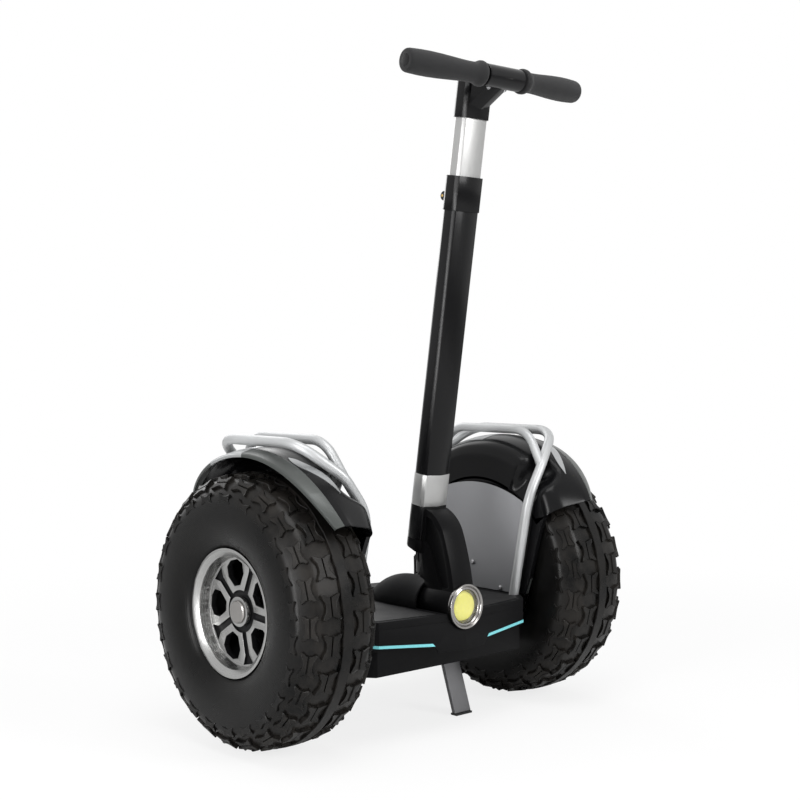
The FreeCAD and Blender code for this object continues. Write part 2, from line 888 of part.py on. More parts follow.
def fender_accent():
    """Leaf shaped silver inlay that lies on the crown, drawn from the middle of the wheel."""
    corners = [vec(half_track + x, y, axle_z) for x, y in leaf_outer + leaf_inner]
    leaf = Part.Face(closed_wire(corners)).extrude(Z * (crown_r + over))
    layer = fender_layer(gap, gap + leaf_t)
    return layer.common(leaf)


# Tubular side rails

rail_knee_bend = 60.0
rail_fork_bend = 50.0
rail_top_bend = 34.0


def rail():
    half = [vec(rail_leg_x, -rail_foot_y, deck_z + gap), vec(rail_leg_x, -rail_knee_y, rail_knee_z),
            vec(rail_fork_x, -rail_fork_y, rail_fork_z), vec(rail_out_x, -rail_top_y, rail_top_z)]
    bends = [0, rail_knee_bend, rail_fork_bend, rail_top_bend]
    rear = [vec(p.x, -p.y, p.z) for p in reversed(half)]
    main = bent_tube(half + rear, bends + bends[::-1], rail_r)
    branch = [half[2], vec(rail_in_x, -rail_top_y, rail_top_z)]
    branch += [vec(p.x, -p.y, p.z) for p in reversed(branch)]
    inner = bent_tube(branch, [0, rail_top_bend, rail_top_bend, 0], rail_r)
    foot = block((0, 2 * deck_side_x), (-deck_nose_y, deck_nose_y), (0, deck_z))
    return main.fuse(inner).cut(foot)


# Hump over the steering pivot, the pivot housing and its bearings

hump_stations = [(-101.0, 1.0), (-40.0, 1.0), (10.0, 0.84), (45.0, 0.45), (64.0, 0.12)]
hump_arc_foot_share = 0.25
hump_slim_share = 0.35


def hump_section(y, share, inset):
    height = (pivot_z + hump_r - deck_z) * share - inset
    half = (hump_r + hump_flare) * (hump_slim_share + (1 - hump_slim_share) * share) - inset
    low_z = deck_z - (over if inset else 0)
    foot_z = deck_z + hump_arc_foot_share * height
    a = vec(-half, y, low_z)
    b = vec(-half, y, foot_z)
    c = vec(half, y, foot_z)
    d = vec(half, y, low_z)
    arch = Part.Arc(b, vec(0, y, deck_z + height), c).toShape()
    return Part.Wire([Part.makeLine(a, b), arch, Part.makeLine(c, d), Part.makeLine(d, a)])


def spine_cowling():
    skin = Part.makeLoft([hump_section(y, share, 0) for y, share in hump_stations], True, False)
    room = Part.makeLoft([hump_section(y - over if y < hump_front_y + gap else y, share, hump_wall)
                          for y, share in hump_stations[:4]], True, False)
    return skin.cut(room)


def pivot_housing():
    body = rod("y", housing_r, housing_front_y, housing_rear_y, 0, pivot_z)
    base = block((-housing_r + over, housing_r - over), (housing_front_y, housing_rear_y),
                 (bridge_top_z, pivot_z))
    bore = rod("y", bearing_r - bearing_step, housing_front_y - over, housing_rear_y + over, 0, pivot_z)
    front = rod("y", bearing_r + run_fit, housing_front_y - over, housing_front_y + bearing_w, 0, pivot_z)
    rear = rod("y", bearing_r + run_fit, housing_rear_y - bearing_w, housing_rear_y + over, 0, pivot_z)
    return body.fuse(base).cut([bore, front, rear])


def pivot_bearings():
    rings = []
    for y in (housing_front_y, housing_rear_y - bearing_w):
        rings.append(tube("y", bearing_r, pivot_shaft_r + run_fit, y, y + bearing_w - run_fit, 0, pivot_z))
    return Part.makeCompound(rings)


shaft_front_y = -158.0
shaft_head_r = 14.0
shaft_head_t = 8.0


def pivot_shaft():
    head_y = housing_rear_y + gap
    shaft = rod("y", pivot_shaft_r, shaft_front_y, head_y + gap, 0, pivot_z)
    points = []
    for i in range(hex_sides):
        angle = math.tau * i / hex_sides
        points.append((shaft_head_r * math.cos(angle), pivot_z + shaft_head_r * math.sin(angle)))
    return shaft.fuse(slab("y", points, head_y, head_y + shaft_head_t))


# Stem pieces share one ten sided outline

stem_shares = [(0.0, 0.5), (0.433, 0.376), (0.5, 0.21), (0.5, -0.21), (0.433, -0.376),
               (0.0, -0.5), (-0.433, -0.376), (-0.5, -0.21), (-0.5, 0.21), (-0.433, 0.376)]


def on_stem(shape):
    """Puts a piece drawn upright, with its front towards -Y, on the leaning stem."""
    moved = shape.copy()
    moved.rotate(ORIGIN, X, stem_lean)
    return moved.translated(vec(0, stem_foot_y, stem_foot_z))


def stem_prism(width, depth, low, high):
    corners = [(x * width, -n * depth) for x, n in stem_shares]
    return slab("z", corners, low, high)


def stem_ring(grow, inner_width, inner_depth, low, high):
    outer = stem_prism(tube_w + 2 * grow, tube_d + 2 * grow, low, high)
    return outer.cut(stem_prism(inner_width, inner_depth, low - over, high + over))


def outer_tube():
    inside_w = tube_w - 2 * tube_wall
    inside_d = tube_d - 2 * tube_wall
    return on_stem(stem_ring(0, inside_w, inside_d, tube_low_s, tube_top_s))


def stem_socket():
    return on_stem(stem_ring(socket_t, tube_w + run_fit, tube_d + run_fit, tube_low_s, socket_top_s))


def silver_sleeve():
    low = socket_top_s + run_fit
    return on_stem(stem_ring(sleeve_t, tube_w + run_fit, tube_d + run_fit, low, sleeve_top_s))


lug_r = 8.5
lug_x = -8.0
lug_w = 14.0
lug_n = 33.0
lug_s = 645.0
clamp_bolt_r = 2.6
clamp_head_r = 5.0
clamp_head_t = 3.5


def collar():
    """Collar that clamps the inner tube, with a pinch lug behind."""
    low_part = stem_ring(collar_t, tube_w + run_fit, tube_d + run_fit, collar_low_s, tube_top_s + gap)
    high_part = stem_ring(collar_t, inner_w + 2 * tube_play, inner_d + 2 * tube_play,
                          tube_top_s + gap, collar_top_s)
    back = tube_d / 2 + collar_t
    ear = rod("x", lug_r, lug_x - lug_w / 2, lug_x + lug_w / 2, lug_n, lug_s)
    web = block((lug_x - lug_w / 2, lug_x + lug_w / 2), (back - collar_t, lug_n),
                (lug_s - lug_r, lug_s + lug_r))
    hole = rod("x", clamp_bolt_r + run_fit, lug_x - lug_w, lug_x + lug_w, lug_n, lug_s)
    return on_stem(low_part.fuse([high_part, ear, web]).cut(hole))


def clamp_screw():
    end = lug_x - lug_w / 2 - gap
    shank = rod("x", clamp_bolt_r, end, lug_x + lug_w / 2 - gap, lug_n, lug_s)
    head = rod("x", clamp_head_r, end - clamp_head_t, end, lug_n, lug_s)
    return on_stem(shank.fuse(head))


knob_r = 13.0
knob_t = 7.0
knob_s = 605.0
knob_grips = 10
knob_face_share = 0.7
knob_edge_share = 0.25
knob_notch_share = 0.12


def height_knob():
    """Round thumb knob that bears on the rear of the outer tube."""
    back = tube_d / 2 + gap
    face_r = knob_r * knob_face_share
    edge = knob_t * knob_edge_share
    top = back + knob_t
    body = spun("y", [(back, 0), (back, face_r), (back + edge, knob_r), (top - edge, knob_r),
                      (top, face_r), (top, 0)], 0, knob_s)
    notches = []
    for i in range(knob_grips):
        angle = 2 * math.pi * i / knob_grips
        notches.append(rod("y", knob_r * knob_notch_share, back - over, back + knob_t + over,
                           knob_r * math.cos(angle), knob_s + knob_r * math.sin(angle)))
    return on_stem(body.cut(notches))


def inner_tube():
    wall = 2.0 * tube_wall
    outer = stem_prism(inner_w, inner_d, inner_low_s, cap_top_s - 2 * over)
    room = stem_prism(inner_w - wall, inner_d - wall, inner_low_s - over, cap_top_s)
    return on_stem(outer.cut(room))


# Arch fork that carries the stem on the swinging barrel

fork_front = [(-98.0, 405.0), (-129.0, 392.0), (-152.0, 365.0), (-167.0, 322.0), (-180.0, 262.0)]
fork_rear = [(-103.0, 272.0), (-91.0, 277.0), (-90.0, 290.0), (-95.5, 308.0), (-86.0, 327.0),
             (-72.0, 334.0), (-78.0, 400.0)]
pocket = [(-107.0, 390.0), (-122.0, 385.0), (-136.0, 369.0), (-147.0, 348.0), (-155.0, 320.0),
          (-162.0, 290.0), (-166.0, 264.0), (-148.0, 258.0), (-138.0, 281.0), (-130.0, 302.0),
          (-119.0, 323.0), (-111.0, 335.0), (-104.0, 343.0)]
pocket_deep = 6.0
plug_top_s = 110.0
hump_play = 2.5


def fork_outline():
    p = [vec(-fork_half_x, y, z) for y, z in fork_front]
    q = [vec(-fork_half_x, y, z) for y, z in fork_rear]
    inside = vec(-fork_half_x, barrel_front_y, pivot_z)
    behind = vec(-fork_half_x, barrel_rear_y, pivot_z)
    edges = [Part.Arc(p[0], p[1], p[2]).toShape(), Part.Arc(p[2], p[3], p[4]).toShape(),
             Part.makeLine(p[4], inside), Part.makeLine(inside, behind), Part.makeLine(behind, q[0]),
             Part.makeLine(q[0], q[1]), Part.makeLine(q[1], q[2]), Part.Arc(q[2], q[3], q[4]).toShape(),
             Part.makeLine(q[4], q[5]), Part.makeLine(q[5], q[6]), Part.makeLine(q[6], p[0])]
    return Part.Wire(edges)


def fork_base():
    """Ten sided foot under the tube, its underside cut at a slant, with a plug above."""
    grow = 2 * socket_t
    drop = tube_low_s
    foot = stem_prism(tube_w + grow, tube_d + grow, -drop, tube_low_s - run_fit)
    half = tube_d / 2 + 2 * socket_t
    under = slab("x", [(-half, -drop / 2), (half, drop / 5), (half, -2 * drop), (-half, -2 * drop)],
                 -tube_w, tube_w)
    inside_w = tube_w - 2 * (tube_wall + run_fit)
    inside_d = tube_d - 2 * (tube_wall + run_fit)
    plug = stem_prism(inside_w, inside_d, -gap, plug_top_s)
    return on_stem(foot.cut(under).fuse(plug.cut(under)))


def arch_fork():
    web = Part.Face(fork_outline()).extrude(X * (2 * fork_half_x))
    socket_room = stem_prism(tube_w + 2 * socket_t + run_fit, tube_d + 2 * socket_t + run_fit,
                             tube_low_s, cap_low_s)
    hump_room = rod("y", hump_r + hump_play, barrel_rear_y, 0, 0, pivot_z)
    pockets = []
    for side in SIDES.values():
        pockets.append(sided(slab("x", pocket, fork_half_x - pocket_deep, fork_half_x + over), side))
    web = web.cut([on_stem(socket_room), hump_room] + pockets)
    barrel = rod("y", barrel_r, barrel_front_y, barrel_rear_y, 0, pivot_z)
    bore = rod("y", pivot_shaft_r + run_fit, shaft_front_y, barrel_rear_y + over, 0, pivot_z)
    lamp_room = rod("y", lamp_glass_r + gap, barrel_front_y - over, lamp_back_y, 0, pivot_z)
    return web.fuse([fork_base(), barrel]).cut([bore, lamp_room])


# Lamp in the front end of the barrel

lamp_back_y = -162.0
lamp_can_front_y = -176.0
glass_t = 2.0
bezel_edge_share = 0.16
glass_front_y = -186.5


def headlight_lamp():
    can = rod("y", lamp_glass_r, lamp_can_front_y, lamp_back_y - gap, 0, pivot_z)
    disc = rod("y", lamp_disc_r, barrel_front_y, lamp_can_front_y + gap, 0, pivot_z)
    return can.fuse(disc)


bezel_roll_share = 1.5


def headlight_bezel():
    back = barrel_front_y - gap
    front = lamp_front_y
    deep = back - front
    edge = deep * bezel_edge_share
    inner = lamp_glass_r + gap
    profile = [(back, inner), (front + 2 * edge, inner), (front + edge, inner + edge),
               (front, inner + 3 * edge), (front, lamp_r - bezel_roll_share * edge), (front + edge, lamp_r),
               (back - 2 * edge, lamp_r), (back, lamp_r - bezel_roll_share * edge)]
    return spun("y", profile, 0, pivot_z)


def headlight_lens():
    return rod("y", lamp_glass_r, glass_front_y, glass_front_y + glass_t, 0, pivot_z)


# Head casting, clamp and handlebar

arm_low_n = 21.0
arm_low_s = 801.0
arm_front_n = 76.0
arm_front_s = 845.0
clamp_out = 5.0
clamp_top_s = 877.0
arm_ridge = 8.0
arm_block_top = 110.0


def arm_side():
    """Side view of the arm from the cap forward to the handlebar, as (-n, s)."""
    seat_n = bar_ahead + bar_r + clamp_out
    rear_n = bar_ahead - bar_r - clamp_out
    return [(0, arm_low_s), (-arm_low_n, arm_low_s), (-arm_front_n, arm_front_s),
            (-seat_n, bar_s - gap), (-rear_n, bar_s - gap), (-rear_n, bar_s + 2 * clamp_out),
            (0, cap_top_s)]


def arm_ridge_prism():
    """Shallow V section that runs up along the underside of the arm."""
    run = vec(0, -(arm_front_n - arm_low_n), arm_front_s - arm_low_s)
    start = vec(0, -arm_low_n, arm_low_s) - run
    up = vec(0, run.z, -run.y).normalize()
    corners = [start, start + X * arm_half_x + up * arm_ridge, start + X * arm_half_x + up * arm_block_top,
               start - X * arm_half_x + up * arm_block_top, start - X * arm_half_x + up * arm_ridge]
    return Part.Face(closed_wire(corners)).extrude(run * 3)


def head_casting():
    cap = stem_prism(inner_w + 2 * cap_wall, inner_d + 2 * cap_wall, cap_low_s, cap_top_s)
    arm = slab("x", arm_side(), -arm_half_x, arm_half_x).common(arm_ridge_prism())
    room = stem_prism(inner_w + 2 * run_fit, inner_d + 2 * run_fit, cap_low_s - over,
                      cap_top_s - 2 * over + gap)
    bar_room = rod("x", bar_r + run_fit, -2 * arm_half_x, 2 * arm_half_x, -bar_ahead, bar_s)
    return on_stem(cap.fuse(arm).cut([room, bar_room] + bracket_screw_rods(run_fit)))


clamp_corner_share = 0.6


def bar_clamp():
    front = -(bar_ahead + bar_r + clamp_out)
    rear = -(bar_ahead - bar_r - clamp_out)
    low = bar_s + gap
    corner_s = bar_s + bar_r * clamp_corner_share
    corners = [(front, low), (front, corner_s), (-bar_ahead - bar_r / 2, clamp_top_s),
               (-bar_ahead + bar_r / 2, clamp_top_s), (rear, corner_s), (rear, low)]
    clamp = slab("x", corners, -arm_half_x, arm_half_x)
    bar_room = rod("x", bar_r + run_fit, -2 * arm_half_x, 2 * arm_half_x, -bar_ahead, bar_s)
    return on_stem(clamp.cut([bar_room] + bracket_screw_rods(run_fit)))


bracket_screw_x = 15.0
bracket_screw_r = 2.5
bracket_screw_n = 82.0
bracket_screw_deep = 12.0


def bracket_screw_rods(grow):
    return [rod("z", bracket_screw_r + grow, bar_s - bracket_screw_deep, bar_s + bracket_screw_deep,
                side * bracket_screw_x, -bracket_screw_n) for side in SIDES.values()]


def bracket_screws():
    return Part.makeCompound([on_stem(screw) for screw in bracket_screw_rods(0)])


def bar_points():
    end = grip_out_x - grip_end_t
    return [vec(-end, bar_y + bar_sweep_y, bar_z + bar_rise_z), vec(-grip_in_x, bar_y, bar_z),
            vec(grip_in_x, bar_y, bar_z), vec(end, bar_y + bar_sweep_y, bar_z + bar_rise_z)]


thick_bar_share = 0.92


def handlebar():
    points = bar_points()
    bend = 2 * grip_in_x
    thin = bent_tube(points, [0, bend, bend, 0], bar_end_r)
    reach = grip_in_x * thick_bar_share
    thick = rod("x", bar_r, -reach, reach, bar_y, bar_z)
    return thin.fuse(thick)


grip_shares = [(0.0, 0.90), (0.02, 1.0), (0.055, 1.0), (0.10, 0.84), (0.17, 0.79), (0.36, 0.84),
               (0.62, 0.965), (0.80, 0.975), (0.93, 0.90), (0.985, 0.76), (1.0, 0.55)]
grip_hole_share = 0.22
grip_end_t = 8.0


def grip():
    """Foam grip: an inner flange, a slim neck, a full palm and a rounded end."""
    points = bar_points()
    run = points[3] - points[2]
    length = run.Length + grip_end_t
    profile = [(along * length, share * grip_flange_r) for along, share in grip_shares]
    bore = bar_end_r + gap
    deep = run.Length + gap
    profile += [(length, grip_hole_share * grip_flange_r), (deep, grip_hole_share * grip_flange_r),
                (deep, bore), (0, bore)]
    shape = spun("x", profile)
    turn = FreeCAD.Rotation(X, run)
    shape.Placement = FreeCAD.Placement(points[2], turn)
    return shape


# Kickstand

stand_plate_t = 5.0
stand_ear_r = 8.0
pin_proud = 2.0


def stand_axle(radius, low, high):
    return rod("x", radius, low, high, stand_pivot_y, stand_pivot_z)


def kickstand_bracket():
    top = tub_low_z - belly_t - 2 * gap
    half = stand_w / 2 + 2 * gap + stand_ear_t
    plate_y = (stand_pivot_y - 2 * stand_ear_r, stand_pivot_y + 2 * stand_ear_r)
    plate = block((stand_x - half - over, stand_x + half + over), plate_y, (top - stand_plate_t, top))
    ears = []
    for low in (stand_x - half, stand_x + half - stand_ear_t):
        ears.append(stand_axle(stand_ear_r, low, low + stand_ear_t))
        ear_y = (stand_pivot_y - stand_ear_r, stand_pivot_y + stand_ear_r)
        ears.append(block((low, low + stand_ear_t), ear_y, (stand_pivot_z, top - stand_plate_t + gap)))
    return plate.fuse(ears).cut(stand_axle(stand_pin_r + run_fit, stand_x - 2 * half, stand_x + 2 * half))


def kickstand_pin():
    half = stand_w / 2 + 2 * gap + stand_ear_t + pin_proud
    return stand_axle(stand_pin_r, stand_x - half, stand_x + half)


def stand_angle():
    return math.atan2(stand_foot_y - stand_pivot_y, stand_pivot_z - stand_pad_t)


def kickstand_leg():
    """Flat bar that leans forward from the knuckle round its pin."""
    tilt = stand_angle()
    half_w = stand_w / 2
    half_t = stand_t / 2
    low = -stand_pivot_z / math.cos(tilt)
    bar = block((-half_w, half_w), (-half_t, half_t), (2 * low, 0))
    knuckle = rod("x", stand_ear_r, -half_w, half_w)
    leg = bar.fuse(knuckle).cut(rod("x", stand_pin_r + run_fit, -stand_w, stand_w))
    leg.rotate(ORIGIN, X, math.degrees(tilt))
    leg = leg.translated(vec(stand_x, stand_pivot_y, stand_pivot_z))
    floor = block((0, 2 * stand_x), (-2 * deck_nose_y, deck_nose_y), (-2 * stand_pivot_z, stand_pad_t + gap))
    return leg.cut(floor)


def kickstand_foot():
    half_w = stand_w / 2
    half_t = stand_t
    return slab("z", [(stand_x - half_w, stand_foot_y - half_t), (stand_x + half_w, stand_foot_y - half_t),
                      (stand_x + half_w, stand_foot_y + half_t), (stand_x - half_w, stand_foot_y + half_t)],
                0, stand_pad_t)


def build():
    os.makedirs("parts", exist_ok=True)
    middle = {
        "chassis_frame": chassis_frame, "belly_cover": belly_cover, "deck_cover": deck_cover,
        "front_panel": front_panel, "spine_cowling": spine_cowling, "pivot_housing": pivot_housing,
        "pivot_bearings": pivot_bearings, "battery_pack": battery_pack,
        "motor_controller": motor_controller, "charge_port": charge_port,
        "side_plate_screws": side_plate_screws, "kickstand_bracket": kickstand_bracket,
        "kickstand_pin": kickstand_pin, "kickstand_leg": kickstand_leg,
        "kickstand_foot": kickstand_foot, "arch_fork": arch_fork, "pivot_shaft": pivot_shaft,
        "headlight_bezel": headlight_bezel, "headlight_lamp": headlight_lamp,
        "headlight_lens": headlight_lens, "stem_socket": stem_socket,
        "silver_sleeve": silver_sleeve, "outer_tube": outer_tube, "collar": collar,
        "clamp_screw": clamp_screw, "height_knob": height_knob, "inner_tube": inner_tube,
        "head_casting": head_casting, "bar_clamp": bar_clamp, "bracket_screws": bracket_screws,
        "handlebar": handlebar}
    for node, make in middle.items():
        save(node, make())
    paired = {"gearbox": gearbox, "motor": motor, "side_plate": side_plate, "fender": fender,
              "fender_accent": fender_accent, "rail": rail, "grip": grip}
    for name, make in paired.items():
        shape = make()
        for side_name, side in SIDES.items():
            save(side_name + "_" + name, sided(shape, side))
    wheel = {"tyre": tyre, "rim": rim, "hub_cap": hub_cap, "axle_nut": axle_nut, "drive_shaft": drive_shaft}
    for name, make in wheel.items():
        shape = make().translated(vec(half_track, 0, axle_z))
        for side_name, side in SIDES.items():
            save(side_name + "_" + name, sided(shape, side))
    for side_name, side in SIDES.items():
        save(side_name + "_light_strip", light_strip(side))
        save(side_name + "_foot_mat", foot_mat(side))


build()
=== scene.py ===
# %% [markdown]
# # A two wheeled self balancing transporter
# The machine has two wide off-road tyres on polished rims, black fenders with silver tube rails,
# a black deck with a round lamp, and a leaning telescopic stem with a foam gripped handlebar.
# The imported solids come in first. They are the fixed frame that every piece is built around.

# %% The frame
import json
import math

import bpy
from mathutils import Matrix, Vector

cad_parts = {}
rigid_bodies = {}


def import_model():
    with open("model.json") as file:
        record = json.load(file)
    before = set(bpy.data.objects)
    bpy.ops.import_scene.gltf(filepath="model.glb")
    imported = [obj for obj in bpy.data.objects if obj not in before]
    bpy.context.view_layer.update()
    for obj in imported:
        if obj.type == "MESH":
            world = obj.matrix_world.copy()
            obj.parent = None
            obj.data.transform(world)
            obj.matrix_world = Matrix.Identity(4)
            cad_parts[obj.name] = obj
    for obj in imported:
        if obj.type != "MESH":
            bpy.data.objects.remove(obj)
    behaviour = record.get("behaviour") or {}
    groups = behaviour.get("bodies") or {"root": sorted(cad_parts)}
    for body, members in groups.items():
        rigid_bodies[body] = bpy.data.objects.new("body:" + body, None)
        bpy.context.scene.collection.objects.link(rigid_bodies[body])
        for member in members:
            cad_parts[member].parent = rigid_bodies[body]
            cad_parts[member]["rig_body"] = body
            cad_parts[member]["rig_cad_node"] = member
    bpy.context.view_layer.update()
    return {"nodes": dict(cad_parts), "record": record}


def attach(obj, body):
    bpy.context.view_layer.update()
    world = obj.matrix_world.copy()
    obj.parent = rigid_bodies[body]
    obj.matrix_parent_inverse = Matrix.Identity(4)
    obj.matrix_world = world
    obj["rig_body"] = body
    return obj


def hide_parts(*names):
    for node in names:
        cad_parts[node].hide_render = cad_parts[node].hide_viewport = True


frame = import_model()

body_of = {}
for body, members in frame["record"]["behaviour"]["bodies"].items():
    for member in members:
        body_of[member] = body

# %% [markdown]
# ## Camera, floor and lamps
# The camera stands low in front of the machine, to the rider's right, and looks up very slightly.
# Its place and lens were worked out from the wheels, which are circles of a known size.

# %% Camera
AXLE = Vector((0, 0.02666, 0.241))
HALF_TRACK = 0.3195
CAMERA_AT = (-1.755, -1.932, 0.6807)
LOOKS_AT = Vector((0.0077, 0.02666, 0.5995))
LENS_MM = 62.4
camera = bpy.data.objects.new("camera", bpy.data.cameras.new("camera"))
bpy.context.scene.collection.objects.link(camera)
camera.location = CAMERA_AT
aim = LOOKS_AT - camera.location
camera.rotation_euler = aim.to_track_quat("-Z", "Y").to_euler()
camera.data.lens = LENS_MM
bpy.context.scene.camera = camera
bpy.context.scene.view_settings.view_transform = "Standard"
print("camera at", tuple(camera.location))

# %% [markdown]
# ## One small class for shader maths
# A finish is a node tree. Written by hand, a tree is a long list of nodes and links, so a socket is
# wrapped in a class that knows the operators: an expression such as 1 - mask adds its own nodes.

# %% Sockets that can be added and multiplied
class Wire:
    """An output socket of one finish, for use in expressions."""

    def __init__(self, finish, socket):
        self.finish = finish
        self.socket = socket

    def math(self, operation, first, second=0.0):
        return self.finish.node("ShaderNodeMath", {"operation": operation}, {0: first, 1: second})

    def __add__(self, other):
        return self.math("ADD", self, other)

    def __radd__(self, other):
        return self.math("ADD", other, self)

    def __sub__(self, other):
        return self.math("SUBTRACT", self, other)

    def __rsub__(self, other):
        return self.math("SUBTRACT", other, self)

    def __mul__(self, other):
        return self.math("MULTIPLY", self, other)

    def __rmul__(self, other):
        return self.math("MULTIPLY", other, self)

    def sine(self):
        return self.math("SINE", self)


class Finish:
    """A material with one shader, and the ways to add nodes to it."""

    def __init__(self, name, colour, roughness, metallic=0.0, **sockets):
        self.material = bpy.data.materials.new(name)
        self.material.use_nodes = True
        self.material.diffuse_color = (*colour, 1)
        self.tree = self.material.node_tree
        self.shader = self.tree.nodes["Principled BSDF"]
        self.colour = colour
        self.roughness = roughness
        self.feed("Base Color", (*colour, 1))
        self.feed("Roughness", roughness)
        self.feed("Metallic", metallic)
        for socket, value in sockets.items():
            self.feed(socket.replace("_", " "), value)
        self.place = self.node("ShaderNodeTexCoord", {}, {}, "Object")

    def node(self, kind, settings, values, out=0):
        made = self.tree.nodes.new(kind)
        for key, value in settings.items():
            setattr(made, key, value)
        for key, value in values.items():
            if isinstance(value, Wire):
                self.tree.links.new(value.socket, made.inputs[key])
            else:
                made.inputs[key].default_value = value
        return Wire(self, made.outputs[out])

    def feed(self, socket, value):
        if isinstance(value, Wire):
            self.tree.links.new(value.socket, self.shader.inputs[socket])
        else:
            self.shader.inputs[socket].default_value = value

    def axes(self):
        made = self.tree.nodes.new("ShaderNodeSeparateXYZ")
        self.tree.links.new(self.place.socket, made.inputs[0])
        return [Wire(self, socket) for socket in made.outputs]

    def stretched(self, scale):
        return self.node("ShaderNodeMapping", {}, {"Vector": self.place, "Scale": scale})

    def noise(self, scale, detail=2.0, place=None):
        values = {"Vector": place or self.place, "Scale": scale, "Detail": detail}
        return self.node("ShaderNodeTexNoise", {}, values)

    def cells(self, scale):
        return self.node("ShaderNodeTexVoronoi", {}, {"Vector": self.place, "Scale": scale})

    def between(self, value, low, high, start=0.0, end=1.0):
        values = {0: value, 1: low, 2: high, 3: start, 4: end}
        return self.node("ShaderNodeMapRange", {}, values)

    def mixed(self, share, first, second):
        ends = [end if isinstance(end, Wire) else (*end, 1) for end in (first, second)]
        return self.node("ShaderNodeMix", {"data_type": "RGBA"}, {0: share, 6: ends[0], 7: ends[1]}, 2)

    def bump(self, height, distance):
        values = {"Height": height, "Distance": distance}
        self.feed("Normal", self.node("ShaderNodeBump", {}, values))

    def varied(self, spread, scale):
        """Colour and roughness drift a little over the surface, as on any real finish."""
        drift = self.noise(scale, 3.0)
        darker = tuple(c * (1 - spread) for c in self.colour)
        lighter = tuple(min(c * (1 + spread), 1) for c in self.colour)
        self.feed("Base Color", self.mixed(drift, darker, lighter))
        self.feed("Roughness", self.between(drift, 0.25, 0.75, self.roughness * (1 - spread),
                                            min(self.roughness * (1 + spread), 1)))

    def radius(self, centre=AXLE):
        """Distance from the wheel axle, or another line across the machine."""
        _, y, z = self.axes()
        across = y - centre.y
        up = z - centre.z
        return self.node("ShaderNodeMath", {"operation": "SQRT"}, {0: across * across + up * up})


print("shader helpers ready")

# %% [markdown]
# The camera mostly sees white light in place of the floor. Near the machine a part of the real
# floor is left, with its soft shadows, and further off it fades away.

# %% Floor
FLOOR_SIZE = 60
FLOOR_DROP = 0.0006
FLOOR_GREY = (0.88, 0.88, 0.88, 1)
FADE_FROM, FADE_TO = 0.7, 2.2
GLOW_NEAR = 0.8
bpy.ops.object.select_all(action="DESELECT")
bpy.ops.mesh.primitive_plane_add(size=FLOOR_SIZE, location=(0, 0, -FLOOR_DROP))
floor = bpy.context.object
floor.name = "floor"
floor_paint = bpy.data.materials.new("floor_paint")
floor_paint.use_nodes = True
floor_nodes = floor_paint.node_tree.nodes
floor_links = floor_paint.node_tree.links
floor_nodes["Principled BSDF"].inputs["Base Color"].default_value = FLOOR_GREY
floor_nodes["Principled BSDF"].inputs["Roughness"].default_value = 0.9
glow = floor_nodes.new("ShaderNodeEmission")
seen = floor_nodes.new("ShaderNodeLightPath")
spot = floor_nodes.new("ShaderNodeTexCoord")
away = floor_nodes.new("ShaderNodeVectorMath")
away.operation = "LENGTH"
fade = floor_nodes.new("ShaderNodeMapRange")
fade.interpolation_type = "SMOOTHSTEP"
fade.inputs[1].default_value = FADE_FROM
fade.inputs[2].default_value = FADE_TO
fade.inputs[3].default_value = GLOW_NEAR
share = floor_nodes.new("ShaderNodeMath")
share.operation = "MULTIPLY"
blend = floor_nodes.new("ShaderNodeMixShader")
floor_links.new(spot.outputs["Object"], away.inputs[0])
floor_links.new(away.outputs["Value"], fade.inputs[0])
floor_links.new(fade.outputs[0], share.inputs[1])
floor_links.new(seen.outputs["Is Camera Ray"], share.inputs[0])
floor_links.new(share.outputs[0], blend.inputs[0])
floor_links.new(floor_nodes["Principled BSDF"].outputs[0], blend.inputs[1])
floor_links.new(glow.outputs[0], blend.inputs[2])
floor_links.new(blend.outputs[0], floor_nodes["Material Output"].inputs[0])
floor.data.materials.append(floor_paint)
print("floor is", FLOOR_SIZE, "m wide")

# %% [markdown]
# The surroundings are full white to the camera, to mirrors and to glass. They light the machine
# with less than that, so that its black paint stays black.

# %% White surroundings
SKY_LIGHT, SKY_SEEN = 0.42, 1.0
world = bpy.data.worlds.new("studio")
bpy.context.scene.world = world
world.use_nodes = True
sky_nodes = world.node_tree.nodes
sky_links = world.node_tree.links
path = sky_nodes.new("ShaderNodeLightPath")
plain = sky_nodes.new("ShaderNodeMath")
plain.operation = "MAXIMUM"
either = sky_nodes.new("ShaderNodeMath")
either.operation = "MAXIMUM"
strength = sky_nodes.new("ShaderNodeMapRange")
strength.inputs[3].default_value = SKY_LIGHT
strength.inputs[4].default_value = SKY_SEEN
sky_links.new(path.outputs["Is Camera Ray"], plain.inputs[0])
sky_links.new(path.outputs["Is Glossy Ray"], plain.inputs[1])
sky_links.new(plain.outputs[0], either.inputs[0])
sky_links.new(path.outputs["Is Transmission Ray"], either.inputs[1])
sky_links.new(either.outputs[0], strength.inputs[0])
sky_nodes["Background"].inputs[0].default_value = (1, 1, 1, 1)
sky_links.new(strength.outputs[0], sky_nodes["Background"].inputs[1])
print("surroundings are white to the camera")

